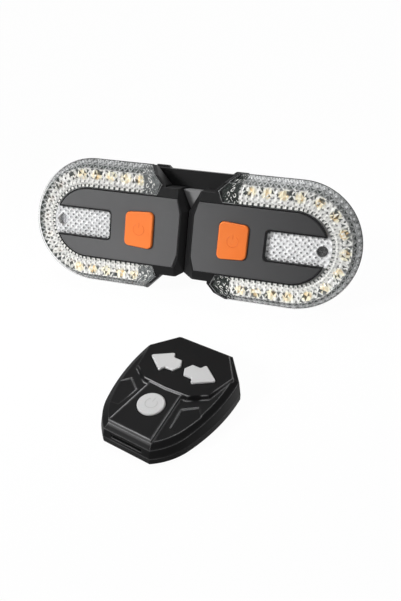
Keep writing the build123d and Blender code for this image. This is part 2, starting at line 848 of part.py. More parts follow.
# Pan-head screws from the back, into the bezel and the reflector
with BuildPart() as case_screws:
    with BuildSketch(front(lamp_depth - 0.2)):
        with Locations(*case_screw_places):
            RegularPolygon(case_screw_head, head_sides)
    extrude(amount=case_screw_head_height - 0.1)
    screw_seat_back = lamp_depth - 0.1 - case_screw_head_height
    with BuildSketch(front(screw_seat_back)):
        with Locations(*bezel_screws):
            RegularPolygon(case_screw_radius, small_sides)
    extrude(amount=screw_seat_back - parting_depth + case_screw_bite - 0.2)
    with BuildSketch(front(screw_seat_back)):
        with Locations(*reflector_screws):
            RegularPolygon(case_screw_radius, small_sides)
    extrude(amount=screw_seat_back - reflector_front - 0.6)
    with BuildSketch(front(lamp_depth - 0.2)):
        with Locations(*case_screw_places):
            Rectangle(2.6, 0.6)
            Rectangle(0.6, 2.6)
    extrude(amount=0.5, mode=Mode.SUBTRACT)
keep_pair(case_screws, "case_screws")

# Bracket: slide-on rail, back plate, top bar with its end tabs, and the clamp's front half
clamp_inner = post_radius + liner_thickness
clamp_outer = clamp_inner + clamp_wall
plate_back = plate_depth + plate_thickness
post_depth = plate_back + clamp_stand_off + clamp_inner
clamp_rear = post_depth + clamp_outer
# Floor line through the lamp's lowest edge, and the clamp's lower end that rests on it
case_edges = ((case_front, lens_radius), (lamp_depth, back_radius))
rest_drop = max(radius * cos(lean) + depth * sin(lean) for depth, radius in case_edges)
clamp_bottom = (clamp_rear * sin(lean) - rest_drop) / cos(lean)
clamp_top = clamp_bottom + clamp_height
ear_out = clamp_outer + ear_reach
clamp_screw_x = clamp_outer + ear_reach / 2 + 0.6
clamp_screw_height = clamp_bottom + clamp_height / 2
clamp_screw_places = ((clamp_screw_x, clamp_screw_height), (-clamp_screw_x, clamp_screw_height))
split_front = post_depth - clamp_split / 2
split_back = post_depth + clamp_split / 2
screw_hole_radius = clamp_screw_radius + clamp_screw_clearance


def clamp_half(forward):
    """Half of the clamp's ring with its two ears, in front of or behind the split."""
    face_depth = split_front if forward else split_back
    toward = Align.MAX if forward else Align.MIN
    away = Align.MIN if forward else Align.MAX
    with BuildPart() as half:
        with BuildSketch(level(clamp_bottom)):
            with Locations((0, post_depth)):
                Circle(clamp_outer)
            with Locations((0, face_depth)):
                Rectangle(2 * ear_out, ear_thickness, align=(Align.CENTER, toward))
            with Locations((0, post_depth)):
                Circle(clamp_inner, mode=Mode.SUBTRACT)
            with Locations((0, face_depth)):
                Rectangle(3 * ear_out, 3 * clamp_outer, align=(Align.CENTER, away), mode=Mode.SUBTRACT)
        extrude(amount=clamp_height)
        ear_tips = half.edges().filter_by(depth_axis)
        ear_tips = ear_tips.filter_by(lambda edge: abs(edge.center().X) > ear_out - 0.1)
        fillet(ear_tips, ear_corner)
        with BuildSketch(front(post_depth)):
            with Locations(*clamp_screw_places):
                Circle(screw_hole_radius)
        extrude(amount=2 * ear_thickness, both=True, mode=Mode.SUBTRACT)
    return half.part


def liner_half(forward):
    """Rubber half sleeve between a clamp half and the post."""
    face_depth = split_front - liner_step if forward else split_back + liner_step
    away = Align.MIN if forward else Align.MAX
    with BuildPart() as half:
        with BuildSketch(level(clamp_bottom)):
            with Locations((0, post_depth)):
                Circle(clamp_inner)
                Circle(post_radius, mode=Mode.SUBTRACT)
            with Locations((0, face_depth)):
                Rectangle(3 * ear_out, 3 * clamp_outer, align=(Align.CENTER, away), mode=Mode.SUBTRACT)
        extrude(amount=clamp_height)
    return half.part


with BuildPart() as bracket:
    with BuildSketch(front(plate_back)):
        with Locations((0, (bar_top + plate_bottom) / 2)):
            RectangleRounded(2 * plate_half_width, bar_top - plate_bottom, plate_corner)
    extrude(amount=plate_thickness)
    with BuildSketch(front(bar_depth + bar_thickness)):
        with Locations((0, bar_low)):
            Rectangle(2 * bar_half_width, bar_top - bar_low, align=(Align.CENTER, Align.MIN))
    extrude(amount=bar_thickness)
    with BuildSketch(front(bar_depth + bar_thickness)):
        with BuildLine():
            Polyline((tab_start_x, bar_top - 1), (tab_start_x, bar_top),
                     (tab_start_x + tab_slope, bar_top + tab_rise), (bar_half_width, bar_top + tab_rise),
                     (bar_half_width, bar_top - 1), close=True)
        make_face()
        mirror(about=Plane.YZ)
    extrude(amount=tab_depth)
    add(dovetail(0, -rail_half_length, 2 * rail_half_length))
    # Saddle between the plate and the clamp, hollowed by the post's bore
    with BuildSketch(level(clamp_bottom)):
        with Locations((0, plate_back - 0.5)):
            Rectangle(2 * saddle_half, post_depth - plate_back - 3.0, align=(Align.CENTER, Align.MIN))
        with Locations((0, post_depth)):
            Circle(clamp_inner + 0.5, mode=Mode.SUBTRACT)
    extrude(amount=clamp_height)
    add(clamp_half(forward=True))
    with BuildSketch(front(split_front - ear_thickness)):
        with Locations(*clamp_screw_places):
            RegularPolygon(clamp_nut_across / 2 + 0.1, 6, major_radius=False)
    extrude(amount=-clamp_nut_height - 0.1, mode=Mode.SUBTRACT)
keep(bracket, "bracket")

# Wedge on the bracket that fills the notch between the lamps' noses
wedge_foot = seam_x + ridge_high_slope * (wedge_low - ridge_high_flat) - wedge_gap
wedge_head = seam_x + ridge_high_slope * (wedge_high - ridge_high_flat) - wedge_gap
with BuildPart() as seam_wedge:
    with BuildSketch(front(bar_depth)):
        with BuildLine():
            Polyline((-wedge_foot, wedge_low), (wedge_foot, wedge_low), (wedge_head, wedge_high),
                     (-wedge_head, wedge_high), close=True)
        make_face()
    extrude(amount=bar_depth - wedge_depth)
    with BuildSketch(front(plate_depth)):
        with Locations((0, wedge_low)):
            Rectangle(2 * wedge_foot, bar_low - wedge_low, align=(Align.CENTER, Align.MIN))
    extrude(amount=plate_depth - bar_depth)
keep(seam_wedge, "seam_wedge")

with BuildPart() as clamp_jaw:
    add(clamp_half(forward=False))
keep(clamp_jaw, "clamp_jaw")

with BuildPart() as front_liner:
    add(liner_half(forward=True))
keep(front_liner, "front_liner")

with BuildPart() as rear_liner:
    add(liner_half(forward=False))
keep(rear_liner, "rear_liner")

# Nuts sunk in the front ears
nut_front = split_front - ear_thickness + 0.05
with BuildPart() as clamp_nuts:
    with BuildSketch(front(nut_front + clamp_nut_height)):
        with Locations(*clamp_screw_places):
            RegularPolygon(clamp_nut_across / 2, 6, major_radius=False)
            Circle(screw_hole_radius, mode=Mode.SUBTRACT)
    extrude(amount=clamp_nut_height)
keep(clamp_nuts, "clamp_nuts")


def clamp_screw(place, name):
    """Socket-head screw through both ears into its nut."""
    head_depth = split_back + ear_thickness + 0.05
    with BuildPart() as screw:
        with BuildSketch(front(head_depth + clamp_screw_head_height)):
            with Locations(place):
                Circle(clamp_screw_head_radius)
        extrude(amount=clamp_screw_head_height)
        with BuildSketch(front(head_depth)):
            with Locations(place):
                Circle(clamp_screw_radius)
        extrude(amount=head_depth - nut_front + 0.6)
        with BuildSketch(front(head_depth + clamp_screw_head_height)):
            with Locations(place):
                RegularPolygon(1.5, 6, major_radius=False)
        extrude(amount=2.0, mode=Mode.SUBTRACT)
        rim = screw.faces().group_by(depth_axis)[-1].edges().filter_by(GeomType.CIRCLE)
        chamfer(rim, 0.4)
    keep(screw, name)


clamp_screw(clamp_screw_places[0], "right_clamp_screw")
clamp_screw(clamp_screw_places[1], "left_clamp_screw")

# Remote, standing on the lamp's floor line
table = -rest_drop


def remote_outline(inset):
    """Plan of the remote: straight head with cut corners, curved flanks and a narrow tail."""
    with BuildSketch() as face:
        with BuildLine() as line:
            Polyline((0, remote_head_y), (remote_head_half, remote_head_y),
                     (remote_corner_half, remote_corner_y))
            ThreePointArc((remote_corner_half, remote_corner_y), (remote_belly_half, remote_belly_y),
                          (remote_waist_half, remote_waist_y))
            ThreePointArc((remote_waist_half, remote_waist_y), (remote_hip_half, remote_hip_y),
                          (remote_tail_half, remote_tail_y))
            Line((remote_tail_half, remote_tail_y), (0, remote_tail_y))
            mirror(about=Plane.YZ)
        make_face()
        if inset:
            offset(amount=-inset, kind=Kind.INTERSECTION)
    return face.sketch


def panel_face(grow):
    """Raised panel round the arrows."""
    with BuildSketch() as face:
        with BuildLine():
            Polyline((0, panel_head_y + grow), (panel_head_half + grow / 2, panel_head_y + grow),
                     (panel_corner_half + grow, panel_corner_y),
                     (panel_low_half + grow, panel_low_y - grow / 2), (panel_toe_half, panel_toe_y - grow),
                     (0, panel_toe_y - grow - 0.6))
            mirror(about=Plane.YZ)
        make_face()
    return face.sketch


def spine_face():
    """Plan of the sloped panel that carries the round button."""
    with BuildSketch() as face:
        with BuildLine():
            Polyline((spine_top_half, panel_toe_y + 2), (spine_tail_half, spine_tail_y),
                     (-spine_tail_half, spine_tail_y), (-spine_top_half, panel_toe_y + 2), close=True)
        make_face()
    return face.sketch


def arrow_face(grow):
    """Arrow pointing right, grown by a margin."""
    with BuildSketch() as face:
        with BuildLine():
            Polyline((arrow_tip_x, arrow_y), (arrow_neck_x, arrow_y + arrow_head_half),
                     (arrow_neck_x - arrow_notch_back, arrow_y + arrow_stem_half),
                     (arrow_tail_x + 1.6, arrow_y + arrow_stem_half), (arrow_tail_x, arrow_y),
                     (arrow_tail_x + 1.6, arrow_y - arrow_stem_half),
                     (arrow_neck_x - arrow_notch_back, arrow_y - arrow_stem_half),
                     (arrow_neck_x, arrow_y - arrow_head_half), close=True)
        make_face()
        fillet(face.vertices(), 0.7)
        if grow:
            offset(amount=grow, kind=Kind.ARC)
    return face.sketch


def spine_height(y):
    """Height of the sloped panel's surface over the remote's base."""
    return spine_middle + spine_slope * y


def remote_side(x):
    """Plane across the remote, x towards its wide end and y up."""
    flat = remote_level(table)
    return Plane(origin=flat.from_local_coords((x, 0, 0)), x_dir=flat.y_dir, z_dir=flat.x_dir)


def sloped_level(height, y_slope, x_slope=0.0):
    """Plane over the remote that rises along its x and y, from a height at the round button."""
    flat = remote_level(table)
    normal = (flat.z_dir - flat.y_dir * y_slope - flat.x_dir * x_slope).normalized()
    return Plane(origin=flat.from_local_coords((0, 0, height)), x_dir=flat.x_dir, z_dir=normal)


def spine_level(height):
    """Plane parallel to the sloped panel, at a height over its surface at the button."""
    return sloped_level(spine_middle, spine_slope).offset(height)


def wing_level(height):
    """Plane parallel to the wings' top, at a height over the base under the button."""
    return sloped_level(height, wing_slope)


def both_sides(x, y):
    """A place on the right of the remote and the same place on its left."""
    return ((x, y), (-x, y))


with BuildPart() as spine:
    with BuildSketch(remote_level(table + remote_base_height)):
        add(spine_face())
    extrude(amount=remote_height)
    with BuildSketch(remote_side(-lens_radius)):
        with BuildLine():
            Polyline((panel_toe_y + 3, 0), (panel_toe_y + 3, spine_height(panel_toe_y + 3)),
                     (spine_tail_y, spine_height(spine_tail_y)), (spine_tail_y - lip_drop, remote_shoulder),
                     (spine_tail_y - lip_drop, 0), close=True)
        make_face()
    extrude(amount=2 * lens_radius, mode=Mode.INTERSECT)

with BuildPart() as remote_top:
    # Drafted wall up to a shoulder that rises towards the head, and a bevel up to the wings
    with BuildSketch(remote_level(table + remote_base_height)):
        add(remote_outline(0))
    with BuildSketch(wing_level(remote_shoulder)):
        add(remote_outline(remote_draft))
    loft(ruled=True)
    with BuildSketch(wing_level(remote_shoulder)):
        add(remote_outline(remote_draft))
    with BuildSketch(wing_level(wing_middle)):
        add(remote_outline(remote_top_inset))
    loft(ruled=True)
    # Shallow grips that run out towards the flanks
    for sign in (1, -1):
        grip = sloped_level(wing_middle - grip_drop, wing_slope - grip_fall, sign * grip_side_slope)
        with BuildSketch(grip):
            with BuildLine():
                Polyline(*[(sign * x, y) for x, y in grip_points], close=True)
            make_face()
        extrude(amount=remote_height, mode=Mode.SUBTRACT)
    with BuildSketch(remote_level(table + remote_shoulder)):
        add(panel_face(panel_slope))
    with BuildSketch(remote_level(table + remote_height)):
        add(panel_face(0))
    loft(ruled=True)
    add(spine.part)
    # Hollow: all over, deeper ahead of the tail, and deepest under the arrows
    with BuildSketch(remote_level(table + remote_base_height)):
        add(remote_outline(remote_wall))
    extrude(amount=tail_hollow - remote_base_height, mode=Mode.SUBTRACT)
    with BuildSketch(remote_level(table + remote_base_height)):
        add(remote_outline(remote_wall + 1.0))
        with Locations((0, spine_tail_y + 6.0)):
            Rectangle(far_x, far_x, align=(Align.CENTER, Align.MAX), mode=Mode.SUBTRACT)
    extrude(amount=wing_hollow - remote_base_height, mode=Mode.SUBTRACT)
    with BuildSketch(remote_level(table + wing_hollow)):
        add(panel_face(-remote_wall))
    extrude(amount=remote_height - remote_wall - wing_hollow, mode=Mode.SUBTRACT)
    with BuildSketch(spine_level(-remote_wall)):
        Circle(remote_button_radius + 1.5)
    extrude(amount=-2.5, mode=Mode.SUBTRACT)
    # Openings for the three buttons
    with BuildSketch(spine_level(-remote_wall)):
        Circle(remote_button_radius + remote_button_clearance)
    extrude(amount=3 * remote_wall, both=True, mode=Mode.SUBTRACT)
    with BuildSketch(remote_level(table + remote_shoulder)):
        add(arrow_face(remote_button_clearance))
        mirror(about=Plane.YZ)
    extrude(amount=remote_height, mode=Mode.SUBTRACT)
    # Screw bosses, and the slot in the tail
    with BuildSketch(remote_level(table + remote_base_height)):
        with Locations(*both_sides(*head_boss), *both_sides(*tail_boss)):
            RegularPolygon(remote_screw_radius + 1.4, small_sides)
    extrude(amount=wing_hollow - remote_base_height + 0.2)
    with BuildSketch(remote_level(table + remote_base_height)):
        with Locations(*both_sides(*head_boss), *both_sides(*tail_boss)):
            RegularPolygon(remote_screw_radius, small_sides)
    extrude(amount=2.4, mode=Mode.SUBTRACT)
    with BuildSketch(remote_level(table + tail_slot_height)):
        with Locations((0, remote_tail_y)):
            Rectangle(tail_slot[0], 2 * tail_slot[1])
    extrude(amount=tail_slot[2], mode=Mode.SUBTRACT)
keep(remote_top, "remote_top")

with BuildPart() as remote_base:
    with BuildSketch(remote_level(table)):
        add(remote_outline(0.8))
    with BuildSketch(remote_level(table + 0.8)):
        add(remote_outline(0))
    loft(ruled=True)
    with BuildSketch(remote_level(table + 0.8)):
        add(remote_outline(0))
    extrude(amount=remote_base_height - 0.8 - 0.05)
    with BuildSketch(remote_level(table + base_floor)):
        add(remote_outline(remote_wall))
    extrude(amount=remote_base_height, mode=Mode.SUBTRACT)
    with BuildSketch(remote_level(table + base_floor)):
        with Locations((0, cell_y)):
            Circle(door_radius + 0.8)
        with Locations(*both_sides(*head_boss), *both_sides(*tail_boss)):
            RegularPolygon(remote_screw_radius + 1.4, small_sides)
    extrude(amount=remote_base_height - base_floor - 0.1)
    with BuildSketch(remote_level(table + base_floor)):
        with Locations((0, cell_y)):
            Circle(door_radius + 0.8)
    extrude(amount=board_level - base_floor)
    with BuildSketch(remote_level(table)):
        with Locations((0, cell_y)):
            Circle(cell_radius + 0.3)
        with Locations(*both_sides(*head_boss), *both_sides(*tail_boss)):
            RegularPolygon(remote_screw_radius + 0.15, small_sides)
    extrude(amount=remote_height, mode=Mode.SUBTRACT)
    with BuildSketch(remote_level(table)):
        with Locations((0, cell_y)):
            Circle(door_radius + 0.2)
        with Locations(*both_sides(*head_boss), *both_sides(*tail_boss)):
            RegularPolygon(remote_screw_head + 0.2, head_sides)
    extrude(amount=door_thickness + 0.1, mode=Mode.SUBTRACT)
keep(remote_base, "remote_base")

# Battery door with its coin slot, and the coin cell behind it
with BuildPart() as battery_door:
    with BuildSketch(remote_level(table + 0.05)):
        with Locations((0, cell_y)):
            Circle(door_radius)
    extrude(amount=door_thickness - 0.05)
    with BuildSketch(remote_level(table)):
        with Locations((0, cell_y)):
            SlotOverall(12.0, 1.8)
    extrude(amount=0.8, mode=Mode.SUBTRACT)
keep(battery_door, "battery_door")

with BuildPart() as coin_cell:
    with BuildSketch(remote_level(table + door_thickness + 0.15)):
        with Locations((0, cell_y)):
            Circle(cell_radius)
    extrude(amount=cell_thickness)
    chamfer(coin_cell.edges().filter_by(GeomType.CIRCLE), 0.25)
keep(coin_cell, "coin_cell")

cell_top = door_thickness + 0.15 + cell_thickness
with BuildPart() as cell_contact:
    with BuildSketch(remote_level(table + cell_top)):
        with Locations((0, cell_y)):
            Rectangle(*contact_size)
    extrude(amount=board_level - cell_top)
keep(cell_contact, "cell_contact")

with BuildPart() as remote_board:
    with BuildSketch(remote_level(table + board_level)):
        with BuildLine():
            Polyline((0, remote_board_ends[1]), (remote_board_half, remote_board_ends[1]),
                     (remote_board_half, remote_board_waist[1]),
                     (remote_board_waist_half, remote_board_waist[0]),
                     (remote_board_waist_half, remote_board_ends[0]), (0, remote_board_ends[0]))
            mirror(about=Plane.YZ)
        make_face()
    extrude(amount=remote_board_thickness)
keep(remote_board, "remote_board")

switch_base = board_level + remote_board_thickness
switch_top = switch_base + remote_switch_height
with BuildPart() as remote_switches:
    with BuildSketch(remote_level(table + switch_base)):
        with Locations((0, 0), *both_sides(arrow_centre_x, arrow_y)):
            RectangleRounded(4.0, 4.0, 0.4)
    extrude(amount=remote_switch_height)
keep(remote_switches, "remote_switches")

stem_end = switch_top + remote_button_travel + 0.1
with BuildPart() as arrow_button:
    with BuildSketch(remote_level(table + remote_height - remote_wall - 0.1)):
        add(arrow_face(0))
    extrude(amount=remote_wall + 0.1 + remote_button_proud)
    top_edges = arrow_button.faces().sort_by(Axis.Z).last.edges()
    chamfer(top_edges, 0.25)
    with BuildSketch(remote_level(table + remote_height - remote_wall - 0.1)):
        add(arrow_face(remote_button_clearance + 0.4))
    extrude(amount=-0.9)
    with BuildSketch(remote_level(table + stem_end)):
        with Locations((arrow_centre_x, arrow_y)):
            RegularPolygon(1.3, small_sides)
    extrude(amount=remote_height - remote_wall - 1.0 - stem_end)
keep(arrow_button, "right_arrow_button")

with BuildPart() as left_arrow:
    mirror(arrow_button.part, about=remote_side(0))
keep(left_arrow, "left_arrow_button")

with BuildPart() as remote_button:
    with BuildSketch(spine_level(-remote_wall - 0.1)):
        Circle(remote_button_radius)
    extrude(amount=remote_wall + 0.1 + remote_button_proud)
    chamfer(remote_button.edges().group_by(Axis.Z)[-1], 0.4)
    with BuildSketch(spine_level(-remote_wall - 0.1)):
        Circle(remote_button_radius + 0.9)
    extrude(amount=-0.8)
    with BuildSketch(spine_level(-remote_wall - 0.9)):
        RegularPolygon(1.3, small_sides)
    extrude(amount=-(spine_middle - remote_wall - 0.9 - stem_end - 0.15))
keep(remote_button, "remote_power_button")

with BuildPart() as remote_screws:
    with BuildSketch(remote_level(table + 0.3)):
        with Locations(*both_sides(*head_boss), *both_sides(*tail_boss)):
            RegularPolygon(remote_screw_head, head_sides)
    extrude(amount=door_thickness - 0.2)
    with BuildSketch(remote_level(table + 0.3)):
        with Locations(*both_sides(*head_boss), *both_sides(*tail_boss)):
            RegularPolygon(remote_screw_radius, small_sides)
    extrude(amount=remote_base_height + 1.9)
    with BuildSketch(remote_level(table + 0.3)):
        with Locations(*both_sides(*head_boss), *both_sides(*tail_boss)):
            Rectangle(2.0, 0.5)
            Rectangle(0.5, 2.0)
    extrude(amount=0.5, mode=Mode.SUBTRACT)
keep(remote_screws, "remote_screws")

# Set the finished pieces on the table, with the footprint's centre at the origin
boxes = [piece.bounding_box() for piece in pieces.values()]
middle_y = (min(box.min.Y for box in boxes) + max(box.max.Y for box in boxes)) / 2
stand = Location((0, -middle_y, rest_drop))
os.makedirs("parts", exist_ok=True)
for name, piece in pieces.items():
    placed = piece.moved(stand)
    placed.label = name
    export_step(placed, os.path.join("parts", name + ".step"))
print("stand", middle_y, rest_drop, "post depth", post_depth, "clamp bottom", clamp_bottom)
print("spine normal", spine_level(0).z_dir, spine_level(0).origin)
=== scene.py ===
"""Studio scene of a bicycle tail lamp pair on its seat-post bracket, with its wireless remote.

The lamp's own directions are used for its pieces: x along the lamps, y up their face and z towards
the viewer, measured from the middle of the front covers. Sizes are millimetres unless a name says
otherwise, and every finished mesh is in metres in the row's frame.
"""

from __future__ import annotations

import logging
import math
from dataclasses import dataclass, field
from enum import Enum
from functools import partial
from typing import Callable, Sequence

import bpy
from mathutils import Matrix, Vector


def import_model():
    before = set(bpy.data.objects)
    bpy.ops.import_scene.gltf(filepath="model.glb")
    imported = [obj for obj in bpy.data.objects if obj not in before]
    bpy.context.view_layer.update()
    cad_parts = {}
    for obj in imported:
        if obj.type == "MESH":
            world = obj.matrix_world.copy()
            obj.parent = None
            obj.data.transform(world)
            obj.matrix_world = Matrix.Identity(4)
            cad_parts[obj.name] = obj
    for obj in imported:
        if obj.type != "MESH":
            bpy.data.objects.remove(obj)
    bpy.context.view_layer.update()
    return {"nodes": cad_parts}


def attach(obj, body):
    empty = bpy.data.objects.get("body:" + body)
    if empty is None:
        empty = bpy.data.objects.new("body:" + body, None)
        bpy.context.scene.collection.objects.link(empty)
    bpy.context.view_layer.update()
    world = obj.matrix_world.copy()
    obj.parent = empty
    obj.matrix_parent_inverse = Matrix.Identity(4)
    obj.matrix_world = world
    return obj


LOG = logging.getLogger("tail_lamp")
MM = 0.001
Colour = tuple[float, float, float]
Place = tuple[float, float]
Point = tuple[float, float, float]
Materials = dict[str, bpy.types.Material]


class Side(Enum):
    """Which of the mirrored lamps, with the word that starts its nodes' names."""

    LEFT = "left"
    RIGHT = "right"


# Shader sums


def summed(operation: str, flipped: bool = False) -> Callable[..., Wire]:
    """Makes a method of a wire that adds a Math node.

    Args:
        operation: The node's operation.
        flipped: Whether the wire comes after the other value.

    Returns:
        The method, which gives the node's value.
    """

    def method(wire: Wire, *others: Wire | float) -> Wire:
        """Adds the node with the wire and the other values on its inputs."""
        values = (*others, wire) if flipped else (wire, *others)
        return wire.recipe.node("Math", {"operation": operation}, dict(enumerate(values)))

    return method


class Wire:
    """A node's output that Python's sums work on."""

    def __init__(self, recipe: Recipe, socket: bpy.types.NodeSocket) -> None:
        """Holds the output and the recipe that it belongs to."""
        self.recipe = recipe
        self.socket = socket

    __add__ = summed("ADD")
    __radd__ = summed("ADD")
    __sub__ = summed("SUBTRACT")
    __rsub__ = summed("SUBTRACT", flipped=True)
    __mul__ = summed("MULTIPLY")
    __rmul__ = summed("MULTIPLY")
    __truediv__ = summed("DIVIDE")
    fraction = summed("FRACT")
    whole = summed("FLOOR")
    above = summed("GREATER_THAN")
    size = summed("ABSOLUTE")
    root = summed("SQRT")
    most = summed("MAXIMUM")
    least = summed("MINIMUM")

    def ramp(self, low: float, high: float, start: float = 0.0, end: float = 1.0) -> Wire:
        """Smooth step from one value to another.

        Args:
            low: Where the step starts.
            high: Where it ends.
            start: Value at the start.
            end: Value at the end.

        Returns:
            The stepped value.
        """
        ends = {"Value": self, "From Min": low, "From Max": high, "To Min": start, "To Max": end}
        return self.recipe.node("MapRange", {"interpolation_type": "SMOOTHSTEP"}, ends)


class Recipe:
    """Builds the nodes of one material, or of the world."""

    def __init__(self, name: str, world: bool = False) -> None:
        """Starts an empty material or world of that name.

        Args:
            name: Its name.
            world: Whether it is a world.
        """
        self.owner = (bpy.data.worlds if world else bpy.data.materials).new(name)
        self.owner.use_nodes = True
        self.ending = "ShaderNodeOutputWorld" if world else "ShaderNodeOutputMaterial"
        self.tree = self.owner.node_tree
        self.tree.nodes.clear()

    def node(self, kind: str, settings: dict | None = None, sockets: dict | None = None,
             output: str | None = None) -> Wire:
        """Adds a node.

        Args:
            kind: The node's type, less the start that all have.
            settings: Its properties, which are set first.
            sockets: Values or wires of its inputs, by name or place.
            output: Name of the output that is used, which is the first without it.

        Returns:
            That output.
        """
        node = self.tree.nodes.new(f"ShaderNode{kind}")
        for key, value in (settings or {}).items():
            setattr(node, key, value)
        for key, value in (sockets or {}).items():
            if isinstance(key, str):
                socket = next(item for item in node.inputs if item.name == key and item.enabled)
            else:
                socket = node.inputs[key]
            if isinstance(value, Wire):
                self.tree.links.new(value.socket, socket)
            elif socket.type == "RGBA":
                socket.default_value = (*value, 1.0)
            else:
                socket.default_value = value
        found = next(item for item in node.outputs if item.enabled and output in (None, item.name))
        return Wire(self, found)

    def place(self) -> Wire:
        """Object coordinates, in metres."""
        return self.node("TexCoord", output="Object")

    def axis(self, name: str, vector: Wire | None = None) -> Wire:
        """One part of a vector, or of the object coordinates."""
        return self.node("SeparateXYZ", None, {0: self.place() if vector is None else vector}, output=name)

    def noise(self, per_mm: float, detail: float = 2.0, roughness: float = 0.5) -> Wire:
        """Cloudy value from 0 to 1.

        Args:
            per_mm: How many clouds a millimetre holds.
            detail: Octaves of finer clouds.
            roughness: Strength of the finer clouds.

        Returns:
            The value.
        """
        sockets = {"Vector": self.place(), "Scale": per_mm / MM, "Detail": detail, "Roughness": roughness}
        return self.node("TexNoise", None, sockets)

    def blend(self, first: Wire | Colour, second: Wire | Colour, share: Wire | float) -> Wire:
        """Mixes two colours.

        Args:
            first: Colour at a share of 0.
            second: Colour at a share of 1.
            share: How much of the second.

        Returns:
            The mixed colour.
        """
        sockets = {"Factor": share, "A": first, "B": second}
        return self.node("Mix", {"data_type": "RGBA"}, sockets, output="Result")

    def soft_edges(self, radius_mm: float, samples: int = 6) -> Wire:
        """Normal that rounds the edges of a moulding."""
        return self.node("Bevel", {"samples": samples}, {"Radius": radius_mm * MM})

    def turned(self, rounded: Wire) -> Wire:
        """How far a rounded normal leaves the flat one, from 0 on a face.

        Args:
            rounded: The rounded normal.

        Returns:
            The turn, up to 1 at a right angle.
        """
        flat = self.node("NewGeometry", output="True Normal")
        sockets = {0: rounded, 1: flat}
        return 1.0 - self.node("VectorMath", {"operation": "DOT_PRODUCT"}, sockets, output="Value")

    def creases(self, radius_mm: float, start: float, end: float, samples: int = 6) -> Wire:
        """Share of 1 along edges that face up, where painted highlights go.

        Args:
            radius_mm: How wide an edge counts.
            start: Least turn that shows.
            end: Turn that shows fully.
            samples: Rays that look for the edge.

        Returns:
            The share.
        """
        rounded = self.soft_edges(radius_mm, samples)
        return self.turned(rounded).ramp(start, end) * self.axis("Z", rounded).ramp(0.25, 0.7)

    def seen(self) -> Wire:
        """1 for what the camera sees, also in a gloss or through a clear piece.

        Returns:
            The value, else 0.
        """
        first, *others = (self.node("LightPath", output=f"Is {kind} Ray")
                          for kind in ("Camera", "Glossy", "Transmission"))
        for other in others:
            first = first.most(other)
        return first

    def bump(self, height: Wire, depth_mm: float, strength: float, normal: Wire) -> Wire:
        """Turns heights into a normal.

        Args:
            height: Height from 0 to 1.
            depth_mm: What a height of 1 stands for.
            strength: Share of the effect.
            normal: Normal that it starts from.

        Returns:
            The bumped normal.
        """
        sockets = {"Height": height, "Distance": depth_mm * MM, "Strength": strength, "Normal": normal}
        return self.node("Bump", None, sockets)

    def surface(self, shader: Wire) -> bpy.types.Material | bpy.types.World:
        """Ends the nodes with a shader and gives what they belong to.

        Args:
            shader: The finished shader.

        Returns:
            The material or the world.
        """
        last = self.tree.nodes.new(self.ending)
        self.tree.links.new(shader.socket, last.inputs["Surface"])
        return self.owner

    def principled(self, **sockets: Wire | float | Colour) -> Wire:
        """Principled shader with its sockets named in small letters."""
        named = {key.replace("_", " ").title().replace("Ior", "IOR"): value for key, value in sockets.items()}
        return self.node("BsdfPrincipled", None, named)


# Places


@dataclass(frozen=True)
class Setting:
    """Where a sub-assembly's own directions lie in the row's frame."""

    centre: Point
    x_way: Point
    y_way: Point

    @property
    def matrix(self) -> Matrix:
        """Turns the sub-assembly's millimetres into the row's metres.

        Returns:
            The whole placement.
        """
        x_axis = Vector(self.x_way).normalized()
        y_axis = Vector(self.y_way).normalized()
        z_axis = x_axis.cross(y_axis)
        turn = Matrix((x_axis, y_axis, z_axis)).transposed().to_4x4()
        return Matrix.Translation(Vector(self.centre) * MM) @ turn @ Matrix.Scale(MM, 4)

    def settle(self, piece: bpy.types.Object, mirrored: bool = False) -> None:
        """Puts a piece's mesh in place and leaves its object at the origin.

        Args:
            piece: A piece modelled in the sub-assembly's millimetres.
            mirrored: Whether it is mirrored in x first.
        """
        piece.data.transform(piece.matrix_world)
        piece.matrix_world = Matrix.Identity(4)
        if mirrored:
            piece.data.transform(Matrix.Diagonal((-1.0, 1.0, 1.0, 1.0)))
            piece.data.flip_normals()
        piece.data.transform(self.matrix)


LEAN = math.radians(20.5)
LAMP = Setting((0.0, 22.664, 33.492), (1.0, 0.0, 0.0), (0.0, math.sin(LEAN), math.cos(LEAN)))
TURN = math.radians(16.7)
REMOTE = Setting((12.3, -66.636, 0.0), (math.cos(TURN), -math.sin(TURN), 0.0),
                 (math.sin(TURN), math.cos(TURN), 0.0))


# Finishes


class Finish:
    """A material of this product, whose shader each kind works out."""

    name: str

    def shader(self, recipe: Recipe) -> Wire:
        """Works out the shader.

        Args:
            recipe: The material's recipe.

        Returns:
            The shader.
        """
        raise NotImplementedError

    def build(self) -> bpy.types.Material:
        """Makes the material."""
        recipe = Recipe(self.name)
        return recipe.surface(self.shader(recipe))


